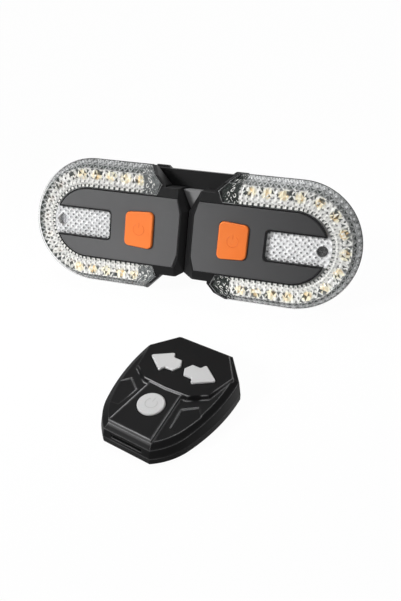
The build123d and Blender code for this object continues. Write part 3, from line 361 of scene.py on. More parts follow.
@dataclass(frozen=True)
class MouldedPlastic(Finish):
    """Injection-moulded plastic with a fine spark-eroded grain and rounded edges, and optional painted
    highlights on upward edges and painted shade along x.
    """

    name: str
    colour: Colour
    worn_colour: Colour
    roughness: float = 0.5
    grain_mm: float = 0.25
    grain_depth: float = 0.02
    gloss: float = 0.3
    edge_mm: float = 0.3
    # Colour and width of painted highlights along edges that face up; none without a colour.
    edge_highlight_colour: Colour | None = None
    edge_highlight_mm: float = 0.8
    # Painted shade: share of the colour left at the far end, and the x places where it darkens; 1 paints
    # none.
    far_shade_share: float = 1.0
    far_shade_start: float = -25.0
    far_shade_end: float = 85.0

    def shader(self, recipe: Recipe) -> Wire:
        """Works out the shader.

        Args:
            recipe: The material's recipe.

        Returns:
            The shader.
        """
        grain = recipe.noise(1.0 / self.grain_mm, 3.0, 0.6)
        clouds = recipe.noise(0.05, 3.0)
        rubbed = recipe.noise(0.4, 4.0).ramp(0.55, 0.8) * clouds.ramp(0.4, 0.7)
        share = clouds.ramp(0.3, 0.7, 0.0, 0.35) + rubbed * 0.25 + grain.ramp(0.4, 0.75, 0.0, 0.2)
        normal = recipe.bump(grain, self.grain_depth, 0.6, recipe.soft_edges(self.edge_mm))
        colour = recipe.blend(self.colour, self.worn_colour, share)
        # Painted shade: darker towards +x, where less light falls.
        if self.far_shade_share < 1.0:
            dark = tuple(part * self.far_shade_share for part in self.colour)
            along = recipe.axis("X").ramp(self.far_shade_start * MM, self.far_shade_end * MM)
            colour = recipe.blend(colour, dark, along)
        # Painted highlight: edges that face up are lightened.
        if self.edge_highlight_colour is not None:
            colour = recipe.blend(colour, self.edge_highlight_colour, recipe.creases(self.edge_highlight_mm, 0.0, 0.07))
        rough = grain.ramp(0.3, 0.7, self.roughness - 0.05, self.roughness + 0.06) - rubbed * 0.08
        return recipe.principled(base_color=colour, roughness=rough, specular_ior_level=self.gloss,
                                 normal=normal)


@dataclass(frozen=True)
class RemoteShell(Finish):
    """Satin black shell of the remote, with painted highlights along its crease edges and over the tail's
    lip, kept off round its keys.
    """

    name: str = "remote_black"
    colour: Colour = (0.0045, 0.0045, 0.0048)
    worn_colour: Colour = (0.007, 0.007, 0.0073)
    # Colours of painted highlights: narrow lines on crease edges, a broad sheen, and a band over the tail's
    # lip.
    edge_highlight_colour: Colour = (0.4, 0.4, 0.404)
    sheen_highlight_colour: Colour = (0.15, 0.15, 0.152)
    lip_highlight_colour: Colour = (0.22, 0.22, 0.222)
    gloss: float = 0.05
    edge_highlight_mm: float = 0.6
    sheen_mm: float = 2.0
    round_key: float = 5.35
    arrow_box: Place = (15.6, 6.4)
    arrow_y: float = 21.6
    key_margin: float = 2.2
    spine_half: float = 10.5
    spine_y: Place = (-12.0, 7.0)
    corner: Place = (12.3, 11.5)
    corner_reach: Place = (1.2, 2.6)
    flank_z: Place = (6.5, 7.5)
    lip_y: float = -14.9
    lip_half: float = 10.2
    lip_z: Place = (7.6, 8.8)

    def painted_highlights(self, recipe: Recipe) -> tuple[Wire, Wire]:
        """Shares of 1 where a painted crease highlight shows, and where the painted highlight over the tail's
        lip lies.

        A painted crease highlight shows beside the spine or where the crease turns to the light. It is kept
        off the keys and the corners of the spine, and fades down the flanks.

        Args:
            recipe: The material's recipe.

        Returns:
            The share for the crease highlights and the share for the lip highlight.
        """
        mapped = recipe.node("Mapping", {"vector_type": "TEXTURE"}, {
            "Vector": recipe.place(), "Location": (REMOTE.centre[0] * MM, REMOTE.centre[1] * MM, 0.0),
            "Rotation": (0.0, 0.0, -TURN), "Scale": (MM, MM, MM)})
        x, y = recipe.axis("X", mapped), recipe.axis("Y", mapped)
        from_round = (x * x + y * y).root() - self.round_key
        from_arrows = (x.size() - self.arrow_box[0]).most((y - self.arrow_y).size() - self.arrow_box[1])
        off_keys = from_round.least(from_arrows).ramp(self.key_margin * 0.3, self.key_margin)
        tail_y, head_y = self.spine_y
        spine = x.size().ramp(self.spine_half, self.spine_half + 0.5, 1.0, 0.0)
        spine = spine * y.ramp(head_y, head_y + 1.0, 1.0, 0.0) * y.ramp(tail_y - 1.0, tail_y)
        rounded = recipe.soft_edges(self.edge_highlight_mm)
        # Painted highlight only where the rounded edge faces right and towards the front, as the light falls.
        lit = (recipe.axis("X", rounded) * 0.6 - recipe.axis("Y", rounded) * 0.8).ramp(-0.02, 0.14, 0.06, 1.0)
        # Painted highlight band over the lip of the tail.
        lip = (y - self.lip_y).size().ramp(0.3, 1.9, 1.0, 0.0)
        lip = lip * x.size().ramp(self.lip_half - 1.5, self.lip_half, 1.0, 0.0)
        from_corner = (x.size() - self.corner[0]).size().most((y - self.corner[1]).size())
        height = recipe.axis("Z") / MM
        painted_highlights = off_keys * lit.most(spine) * from_corner.ramp(*self.corner_reach)
        return painted_highlights * height.ramp(*self.flank_z, 0.3, 1.0), lip * height.ramp(*self.lip_z)

    def shader(self, recipe: Recipe) -> Wire:
        """Works out the shader.

        Args:
            recipe: The material's recipe.

        Returns:
            The shader.
        """
        grain = recipe.noise(4.0, 3.0, 0.6)
        clouds = recipe.noise(0.05, 3.0).ramp(0.35, 0.7)
        crease_highlight_share, lip = self.painted_highlights(recipe)
        colour = recipe.blend(self.colour, self.worn_colour, clouds * 0.6 + grain.ramp(0.4, 0.75, 0.0, 0.4))
        # Painted highlights: a broad sheen and narrow lines on crease edges, and a band over the tail's lip.
        sheen = recipe.creases(self.sheen_mm, 0.0, 0.16, 12) * crease_highlight_share
        colour = recipe.blend(colour, self.sheen_highlight_colour, sheen * (0.7 + clouds * 0.3))
        narrow = recipe.creases(self.edge_highlight_mm, 0.0, 0.07) * crease_highlight_share
        colour = recipe.blend(colour, self.lip_highlight_colour, lip)
        colour = recipe.blend(colour, self.edge_highlight_colour, narrow * (0.35 + clouds * 0.65))
        normal = recipe.bump(grain, 0.01, 0.6, recipe.soft_edges(0.9))
        return recipe.principled(base_color=colour, roughness=grain.ramp(0.3, 0.7, 0.36, 0.46),
                                 specular_ior_level=self.gloss, normal=normal)


@dataclass(frozen=True)
class ClearPlastic(Finish):
    """Outer skin of the clear lens, seen by its gloss and by painted reflections: a grey rim that turns to a
    painted dark outline at grazing angles, and painted outlines along its edges.
    """

    name: str = "clear_lens_skin"
    haze: float = 0.02
    rim_reflection_share: float = 0.55
    # Painted reflection on the rim, painted shade for the dark outline at grazing angles, and painted
    # outlines along the edges, light near the inner ends.
    rim: Colour = (0.42, 0.43, 0.43)
    grazing_rim_shade: Colour = (0.2, 0.205, 0.205)
    outline_share: float = 0.6
    edge_mm: float = 0.8
    edge: Colour = (0.09, 0.093, 0.093)
    inner_outline_highlight: Colour = (0.5, 0.51, 0.51)
    inner_end: float = 20.0

    def shader(self, recipe: Recipe) -> Wire:
        """Works out the shader.

        Args:
            recipe: The material's recipe.

        Returns:
            The shader.
        """
        facing = recipe.node("LayerWeight", None, {"Blend": 0.25}, output="Facing")
        smears = recipe.noise(0.08, 3.0).ramp(0.4, 0.8, 0.0, 0.03)
        # Painted outlines along the edges: painted shade, except near the lens's inner ends, where they are a
        # painted highlight.
        edges = recipe.turned(recipe.soft_edges(self.edge_mm)).ramp(0.01, 0.08)
        share = (facing.ramp(0.45, 1.0, self.haze, self.rim_reflection_share) + smears).most(edges * self.outline_share)
        inner = recipe.axis("X").size().ramp(self.inner_end * MM, (self.inner_end + 3.0) * MM, 1.0, 0.0)
        # Painted reflection: grey at the rim, darker at grazing angles.
        colour = recipe.blend(self.rim, self.grazing_rim_shade, facing.ramp(0.72, 0.97))
        colour = recipe.blend(colour, recipe.blend(self.edge, self.inner_outline_highlight, inner), edges)
        gloss = recipe.principled(base_color=colour, roughness=0.3, specular_ior_level=0.06)
        clear = recipe.node("BsdfTransparent", None, {"Color": (1.0, 1.0, 1.0)})
        return recipe.node("MixShader", None, {0: share, 1: clear, 2: gloss})


class PrismCell:
    """Where a point lies in its own prism, read from the field's UV map."""

    def __init__(self, recipe: Recipe, cells: Place, uneven: float, finer: Place = (1.0, 1.0)) -> None:
        """Works out the place.

        Args:
            recipe: Material that the place is for.
            cells: How many cells the map holds each way.
            uneven: How far the light's bending shifts them, in cells.
            finer: How many prisms a cell holds each way.
        """
        spot = recipe.node("TexCoord", output="UV")
        self.along = recipe.axis("X", spot) * cells[0]
        self.row = recipe.axis("Y", spot) * cells[1]
        across = self.along * finer[0] + (recipe.noise(0.42, 2.0) - 0.5) * uneven
        down = self.row * finer[1] + (recipe.noise(0.3, 2.0) - 0.5) * uneven
        first = (across + down) * 0.5 + 0.5
        second = (across - down) * 0.5 + 0.5
        left = first.fraction() - 0.5
        right = second.fraction() - 0.5
        x, y = left + right, left - right
        self.edge = left.size().most(right.size())
        self.reach = (x * x + y * y).root()
        quarter = x.above(0.0) + y.above(0.0) * 2.0
        place = {0: first.whole(), 1: second.whole()}
        self.chance = self.draw(recipe, place)
        self.facet = self.draw(recipe, {**place, 2: quarter})
        self.flicker = recipe.noise(1.1, 3.0, 0.7)

    @staticmethod
    def draw(recipe: Recipe, place: dict[int, Wire]) -> Wire:
        """Random value of a cell, or of a quarter of it."""
        sockets = {"Vector": recipe.node("CombineXYZ", None, place)}
        return recipe.node("TexWhiteNoise", {"noise_dimensions": f"{len(place)}D"}, sockets)

    def dot(self, radius: float) -> Wire:
        """Uneven spot in the middle of each cell."""
        return (self.reach + self.flicker * 0.24 - 0.12).ramp(radius, radius + 0.14, 1.0, 0.0)


@dataclass(frozen=True)
class RingPrismPlastic(Finish):
    """Prisms round the ring, with the light and shade they show by refraction painted on, from the white band
    beside the fork to the dark wall at the rim.
    """

    name: str
    cells: Place
    arc_cells: float
    led_cells: Place
    led_count: int
    # How much painted chip light shows round the arc.
    arc_glow: float = 1.0
    led_row: float = 2.15
    led_shift: float = 0.0
    led_squash: float = 1.25
    led_bend: float = 2.7
    led_end: float = 1.2
    net_shift: float = 0.0
    band_rows: Place = (2.85, 3.5)
    point_row: float = 4.4
    bead_rows: Place = (0.52, 0.62)
    bead_half: Place = (0.34, 0.3)
    dark_cells: float = 3.1
    finer: Place = (2.0, 1.75)
    curl_finer: Place = (1.6, 1.35)
    # Colours painted for what the prisms show by refraction: the white reflector, dark points, the dark wall,
    # bright lines and points, chip light and glints.
    white: Colour = (1.0, 1.0, 0.99)
    grey: Colour = (0.45, 0.46, 0.47)
    dot: Colour = (0.05, 0.05, 0.05)
    deep: Colour = (0.012, 0.022, 0.017)
    wall: Colour = (0.22, 0.23, 0.228)
    line: Colour = (0.88, 0.89, 0.9)
    cream: Colour = (1.0, 0.95, 0.72)
    amber: Colour = (0.9, 0.62, 0.28)
    end: Colour = (0.014, 0.02, 0.017)
    solid: float = 0.9

    def lit_places(self, cell: PrismCell) -> Wire:
        """Share of 1 for the painted chip light over each light chip.

        Args:
            cell: The prism that a point lies in.

        Returns:
            The share.
        """
        half = self.arc_cells / 2 + self.led_shift
        from_middle = (cell.along - self.cells[0] / 2).size()
        straight_pitch, arc_pitch = self.led_cells
        bent = ((from_middle / arc_pitch + 0.5).fraction() - 0.5).size() * arc_pitch
        straight = (((from_middle - half) / straight_pitch + 0.5).fraction() - 0.5).size() * straight_pitch
        knee = half - self.led_shift * self.led_bend
        beside = bent + (straight - bent) * from_middle.ramp(knee - 0.1, knee)
        across = (cell.row - self.led_row) * self.led_squash
        last = half + straight_pitch * (self.led_count - 1) + self.led_end
        spread = (beside * beside + across * across).root() + cell.facet * 0.7 - 0.35
        kept = from_middle.ramp(last, last + 0.2, 1.0, 0.0)
        kept = kept * from_middle.ramp(knee - 0.2, knee, self.arc_glow, 1.0)
        return spread.ramp(0.7, 1.15, 1.0, 0.0) * kept

    def front(self, recipe: Recipe, cell: PrismCell) -> Wire:
        """Painted reflection of the white reflector beside the fork, with grey points that turn dark towards
        the chips.

        Args:
            recipe: The material's recipe.
            cell: The prism that a point lies in.

        Returns:
            The colour.
        """
        near_chips = (cell.row - self.led_row - 0.15).size().ramp(0.45, 0.95, 1.0, 0.0)
        colour = recipe.blend(self.white, self.grey, cell.facet.ramp(0.5, 0.95) * (0.3 + near_chips * 0.5))
        colour = recipe.blend(colour, self.deep, near_chips * cell.facet.above(0.7) * 0.9)
        return recipe.blend(colour, self.dot, cell.dot(0.24) * (near_chips * 0.2 + 0.4 + cell.chance * 0.4))

    def rim(self, recipe: Recipe, cell: PrismCell, row: Wire) -> Wire:
        """Painted dark net beyond the chips, greyer towards the outer edge, with painted bright lines and a
        row of painted bright points.

        Args:
            recipe: The material's recipe.
            cell: The prism that a point lies in.
            row: The point's place among the rows.

        Returns:
            The colour.
        """
        outer = row.ramp(3.9, 5.2)
        dark = recipe.blend(self.deep, self.wall, (cell.facet * 0.7 + outer * 0.6).ramp(0.3, 0.9))
        lines = cell.edge.ramp(0.27, 0.42) * (0.3 + cell.chance * 0.7) * (0.6 + outer * 0.4)
        points = cell.dot(0.34) * (row - self.point_row).size().ramp(0.3, 0.5, 1.0, 0.0)
        return recipe.blend(dark, self.line, lines.most(points))

    def beads(self, recipe: Recipe, cell: PrismCell) -> Wire:
        """Row of painted white glints beside the fork, one in each cell.

        Args:
            recipe: The material's recipe.
            cell: The prism that a point lies in.

        Returns:
            The colour.
        """
        half_x, half_y = self.bead_half
        bead = (cell.row / half_y - 1.0).size().most((cell.along.fraction() - 0.5).size() / half_x)
        return recipe.blend(self.white, self.deep, bead.ramp(0.75, 1.05))

    def curls(self, recipe: Recipe, cell: PrismCell, from_end: Wire) -> Wire:
        """Painted white glints, shaped as curls, on the painted dark end walls of the lens.

        Args:
            recipe: The material's recipe.
            cell: The prism that a point lies in.
            from_end: Cells from the lens's end to the point.

        Returns:
            The colour.
        """
        coarse = PrismCell(recipe, self.cells, 0.9, self.curl_finer)
        share = (coarse.reach + cell.flicker * 0.2 - 0.5).size().ramp(0.05, 0.15, 1.0, 0.0)
        share = share * coarse.facet.above(0.36) * from_end.ramp(0.45, 0.75)
        return recipe.blend(self.end, self.white, share)

    def shader(self, recipe: Recipe) -> Wire:
        """Works out the shader.

        Args:
            recipe: The material's recipe.

        Returns:
            The shader.
        """
        cell = PrismCell(recipe, self.cells, 0.7, self.finer)
        from_middle = (cell.along - self.cells[0] / 2).size()
        row = cell.row + from_middle.ramp(0.0, self.arc_cells / 2, self.net_shift, 0.0)
        band = (row + cell.facet * 0.7 - 0.35).ramp(*self.band_rows)
        colour = recipe.blend(self.front(recipe, cell), self.rim(recipe, cell, row), band)
        # Painted chip light: cream and amber, flecked white and dark, over the chips.
        chip = recipe.blend(self.cream, self.amber, (cell.flicker * 0.7 + cell.facet * 0.6).ramp(0.55, 0.9))
        chip = recipe.blend(chip, self.white, cell.facet.ramp(0.12, 0.3, 0.8, 0.0))
        chip = recipe.blend(chip, self.deep, cell.facet.above(0.82) * 0.85)
        colour = recipe.blend(colour, chip, self.lit_places(cell) * 0.88)
        colour = recipe.blend(colour, self.beads(recipe, cell), cell.row.ramp(*self.bead_rows, 0.9, 0.0))
        # Painted dark ends of the lens with painted glints.
        from_end = self.cells[0] / 2 - from_middle
        ends = from_end.ramp(self.dark_cells, self.dark_cells + 0.4, 1.0, 0.0)
        colour = recipe.blend(colour, self.curls(recipe, cell, from_end), ends)
        return recipe.principled(base_color=colour, roughness=0.3, specular_ior_level=0.3, alpha=self.solid)


@dataclass(frozen=True)
class WindowPrismPlastic(Finish):
    """Staggered prisms over the white panel, with the light and shade they show by refraction painted on: a
    dark point in each, a row of glints and a painted white reflection at the lip; clear over the screw.
    """

    name: str
    cells: Place
    size_mm: Place
    screw_mm: float
    screw_reach: float = 13.0
    screw_radius: float = 2.8
    screw_haze: float = 0.05
    lip_radius: float = 16.1
    white: Colour = (1.0, 1.0, 1.0)
    grey: Colour = (0.42, 0.43, 0.44)
    dot: Colour = (0.055, 0.055, 0.06)
    solid: float = 0.94

    def shader(self, recipe: Recipe) -> Wire:
        """Works out the shader.

        Args:
            recipe: The material's recipe.

        Returns:
            The shader.
        """
        cell = PrismCell(recipe, self.cells, 0.3)
        colour = recipe.blend(self.white, self.grey, cell.facet.ramp(0.45, 1.0) * 0.55)
        colour = recipe.blend(colour, self.dot, cell.dot(0.26) * (0.45 + cell.chance * 0.45))
        # Painted row of glints along the lower edge.
        bead = ((cell.along * 0.5).fraction() - 0.5).size().ramp(0.2, 0.34, 1.0, 0.0)
        beads = recipe.blend(self.dot, self.white, bead)
        colour = recipe.blend(colour, beads, cell.row.ramp(0.75, 0.95, 0.95, 0.0))
        across = cell.along * (self.size_mm[0] / self.cells[0]) - self.screw_mm
        aside = (cell.row - self.cells[1] / 2) * (self.size_mm[1] / self.cells[1])
        off_screw = (across * across + aside * aside).root().ramp(self.screw_radius - 0.2, self.screw_radius)
        # Painted white reflection of the reflector along the lip beside the ring.
        bent = across + self.screw_reach
        lip = (bent * bent + aside * aside).root().ramp(self.lip_radius - 0.25, self.lip_radius)
        colour = recipe.blend(colour, self.white, lip * 0.9)
        return recipe.principled(base_color=colour, roughness=0.3, specular_ior_level=0.3,
                                 alpha=off_screw * (self.solid - self.screw_haze) + self.screw_haze)


@dataclass(frozen=True)
class PaintedBoard(Finish):
    """Circuit board with solder mask, tracks and pads."""

    name: str = "circuit_board"
    mask: Colour = (0.02, 0.045, 0.03)
    track: Colour = (0.045, 0.09, 0.05)
    pad: Colour = (0.4, 0.38, 0.33)

    def shader(self, recipe: Recipe) -> Wire:
        """Works out the shader.

        Args:
            recipe: The material's recipe.

        Returns:
            The shader.
        """
        cells = recipe.node("TexVoronoi", {"distance": "CHEBYCHEV"},
                            {"Vector": recipe.place(), "Scale": 0.35 / MM})
        tracks = (cells * 7.0).fraction().ramp(0.42, 0.5)
        pads = cells.ramp(0.12, 0.16, 1.0, 0.0)
        colour = recipe.blend(recipe.blend(self.mask, self.track, tracks), self.pad, pads * 0.5)
        normal = recipe.bump(tracks, 0.03, 0.5, recipe.soft_edges(0.1))
        return recipe.principled(base_color=colour, roughness=0.35, normal=normal)


@dataclass(frozen=True)
class WhitePlastic(Finish):
    """Glossy white reflector."""

    name: str = "reflector_white"
    colour: Colour = (0.86, 0.86, 0.85)

    def shader(self, recipe: Recipe) -> Wire:
        """Works out the shader.

        Args:
            recipe: The material's recipe.

        Returns:
            The shader.
        """
        flow = recipe.noise(0.12, 3.0)
        colour = recipe.blend(self.colour, (0.76, 0.77, 0.77), flow.ramp(0.4, 0.75))
        normal = recipe.bump(flow, 0.05, 0.2, recipe.soft_edges(0.15))
        return recipe.principled(base_color=colour, roughness=flow.ramp(0.3, 0.7, 0.2, 0.34), coat_weight=0.3,
                                 normal=normal)


@dataclass(frozen=True)
class Metal(Finish):
    """Turned or pressed metal with fine tool lines."""

    name: str
    colour: Colour
    roughness: float = 0.3
    lines_per_mm: float = 6.0

    def shader(self, recipe: Recipe) -> Wire:
        """Works out the shader.

        Args:
            recipe: The material's recipe.

        Returns:
            The shader.
        """
        lines = recipe.noise(self.lines_per_mm, 4.0, 0.7)
        stain = recipe.noise(0.3, 3.0).ramp(0.45, 0.75)
        dull = tuple(part * 0.6 for part in self.colour)
        return recipe.principled(
            base_color=recipe.blend(self.colour, dull, stain * 0.6),
            metallic=1.0,
            roughness=lines.ramp(0.3, 0.7, self.roughness - 0.08, self.roughness + 0.1),
            normal=recipe.bump(lines, 0.02, 0.4, recipe.soft_edges(0.12)),
        )


@dataclass(frozen=True)
class SoftRubber(Finish):
    """Dull black rubber with a dusty bloom."""

    name: str = "soft_rubber"
    colour: Colour = (0.013, 0.013, 0.014)

    def shader(self, recipe: Recipe) -> Wire:
        """Works out the shader.

        Args:
            recipe: The material's recipe.

        Returns:
            The shader.
        """
        grain = recipe.noise(5.0, 3.0, 0.65)
        dust = recipe.noise(0.15, 4.0).ramp(0.45, 0.8) * 0.5 + grain.ramp(0.5, 0.8, 0.0, 0.3)
        return recipe.principled(
            base_color=recipe.blend(self.colour, (0.04, 0.04, 0.042), dust),
            roughness=grain.ramp(0.3, 0.7, 0.68, 0.86),
            specular_ior_level=0.3,
            normal=recipe.bump(grain, 0.03, 0.6, recipe.soft_edges(0.25)),
        )


@dataclass(frozen=True)
class LightChip(Finish):
    """Phosphor or package of a light-emitting chip."""

    name: str
    colour: Colour
    spot: Colour
    # A glow above 0 is painted light: the chips are not lit.
    glow: float = 0.0

    def shader(self, recipe: Recipe) -> Wire:
        """Works out the shader.

        Args:
            recipe: The material's recipe.

        Returns:
            The shader.
        """
        flecks = recipe.noise(1.6, 2.0)
        colour = recipe.blend(self.colour, self.spot, flecks.ramp(0.42, 0.62))
        return recipe.principled(base_color=colour, roughness=0.35, emission_color=colour,
                                 emission_strength=self.glow)


LOOKS = {
    # Black body with painted highlights along its upper edges.
    "body": MouldedPlastic("body_black", (0.0085, 0.0085, 0.0088), (0.013, 0.013, 0.0135), roughness=0.42,
                           gloss=0.1, edge_mm=0.25, edge_highlight_colour=(0.03, 0.03, 0.032), edge_highlight_mm=0.35),
    # Grey cover with painted shade towards its far end.
    "cover": MouldedPlastic("cover_grey", (0.088, 0.088, 0.09), (0.108, 0.108, 0.11), grain_mm=0.2,
                            grain_depth=0.015, gloss=0.15, edge_mm=0.35, far_shade_share=0.5),
    "wedge": MouldedPlastic("wedge_grey", (0.2, 0.2, 0.202), (0.23, 0.23, 0.232), grain_mm=0.2,
                            grain_depth=0.015, gloss=0.15, edge_mm=0.35),
    "orange": MouldedPlastic("button_orange", (0.76, 0.165, 0.023), (0.76, 0.2, 0.042), roughness=0.45,
                             grain_depth=0.01, edge_mm=0.35),
    "orange_mark": MouldedPlastic("mark_orange", (0.7, 0.138, 0.019), (0.71, 0.153, 0.026), roughness=0.45,
                                  grain_depth=0.01, edge_mm=0.1),
    "remote": RemoteShell(),
    "key": MouldedPlastic("key_grey", (0.5, 0.5, 0.5), (0.6, 0.6, 0.6), grain_mm=0.4, grain_depth=0.015),
    "key_mark": MouldedPlastic("mark_grey", (0.42, 0.42, 0.42), (0.48, 0.48, 0.48), grain_depth=0.01,
                               edge_mm=0.1),
    "clear": ClearPlastic(),
    "board": PaintedBoard(),
    "white": WhitePlastic(),
    "steel": Metal("screw_steel", (0.56, 0.56, 0.58)),
    # Right lamp's lens screw: a painted-dark copy of the steel screw, as painted shade, with a painted
    # highlight round its edges.
    "shaded_screw": MouldedPlastic("shaded_screw", (0.012, 0.012, 0.012), (0.05, 0.05, 0.05), roughness=0.35,
                                 edge_mm=0.2, edge_highlight_colour=(0.4, 0.4, 0.4), edge_highlight_mm=0.25),
    "brass": Metal("contact_brass", (0.78, 0.6, 0.3)),
    "foil": Metal("battery_foil", (0.62, 0.62, 0.64), 0.38, 2.0),
    "rubber": SoftRubber(),
    "switch": MouldedPlastic("switch_black", (0.02, 0.02, 0.02), (0.03, 0.03, 0.03), roughness=0.4,
                             grain_mm=0.2, grain_depth=0.01, gloss=0.4, edge_mm=0.1),
    "ribbon": MouldedPlastic("ribbon_film", (0.32, 0.16, 0.04), (0.42, 0.24, 0.07), roughness=0.3,
                             grain_depth=0.01, gloss=0.5, edge_mm=0.05),
    "package": LightChip("chip_package", (0.82, 0.8, 0.74), (0.72, 0.7, 0.62)),
    # Phosphor with a painted glow, though the chips are off.
    "phosphor": LightChip("chip_phosphor", (1.0, 0.62, 0.12), (1.0, 0.4, 0.08), 0.35),
}


# Modelling helpers


def choose(*pieces: bpy.types.Object) -> None:
    """Selects some pieces and nothing else, with the first one active.

    Args:
        pieces: The pieces, or none to clear the selection.
    """
    bpy.ops.object.select_all(action="DESELECT")
    for piece in pieces:
        piece.select_set(True)
    if pieces:
        bpy.context.view_layer.objects.active = pieces[0]


def edit(piece: bpy.types.Object, *steps: Callable[[], object],
         wanted: Callable[[bpy.types.MeshPolygon], bool] | None = None) -> None:
    """Runs edit-mode steps on a piece.

    Args:
        piece: The piece.
        steps: Calls made in edit mode, in order.
        wanted: Test for the faces that are selected first, which are all without it.
    """
    choose(piece)
    mesh = piece.data
    for kind in (mesh.vertices, mesh.edges):
        kind.foreach_set("select", [False] * len(kind))
    mesh.polygons.foreach_set("select", [wanted is None or wanted(face) for face in mesh.polygons])
    bpy.ops.object.mode_set(mode="EDIT")
    bpy.ops.mesh.select_mode(type="FACE")
    for step in steps:
        step()
    bpy.ops.object.mode_set(mode="OBJECT")


def dress(piece: bpy.types.Object, material: bpy.types.Material) -> None:
    """Gives a piece one material in place of any it has."""
    piece.data.materials.clear()
    piece.data.materials.append(material)


def joined(pieces: Sequence[bpy.types.Object], name: str) -> bpy.types.Object:
    """Joins pieces into the first and names it.

    Args:
        pieces: The pieces, each with a mesh of its own.
        name: The joined piece's name.

    Returns:
        The joined piece.
    """
    choose(*pieces)
    bpy.ops.object.join()
    pieces[0].name = name
    pieces[0].data.name = name
    return pieces[0]


def bevel(piece: bpy.types.Object, width: float) -> None:
    """Rounds a piece's sharp edges.

    Args:
        piece: The piece.
        width: How much of each side the rounding takes.
    """
    choose(piece)
    modifier = piece.modifiers.new("Bevel", "BEVEL")
    modifier.width = width
    modifier.segments = 2
    modifier.limit_method = "ANGLE"
    bpy.ops.object.modifier_apply(modifier=modifier.name)


def pyramids(columns: int, rows: int, place: Callable[[float, float, bool], Point]) -> bpy.types.Object:
    """Sheet of four-sided pyramids.

    Args:
        columns: Pyramids along it.
        rows: Pyramids across it.
        place: Place of a corner or a tip, from its column and row and whether it is a tip.

    Returns:
        The sheet.
    """
    bpy.ops.mesh.primitive_grid_add(x_subdivisions=columns, y_subdivisions=rows, size=1.0)
    sheet = bpy.context.object
    corners = len(sheet.data.vertices)
    edit(sheet, bpy.ops.mesh.poke)
    for vertex in sheet.data.vertices:
        vertex.co = place((vertex.co.x + 0.5) * columns, (vertex.co.y + 0.5) * rows, vertex.index >= corners)
    return sheet


@dataclass
class Assembly:
    """Nodes of the pack that belong together, with the finishes that they get."""

    finishes: Materials
    nodes: dict[str, bpy.types.Object]

    def dress_nodes(self, plan: dict[str, Sequence[str]], start: str = "") -> None:
        """Gives nodes their finishes.

        Args:
            plan: Names of the nodes by finish.
            start: What each of the names starts with.
        """
        for finish, names in plan.items():
            for name in names:
                dress(self.nodes[start + name], self.finishes[finish])
            LOG.info("%s: %s", finish, ", ".join(start + name for name in names))


# Lamps


ARC_X = 51.5
LED_PITCH = 7.6
LED_STEP = math.radians(22.5)
LED_ROWS = 4


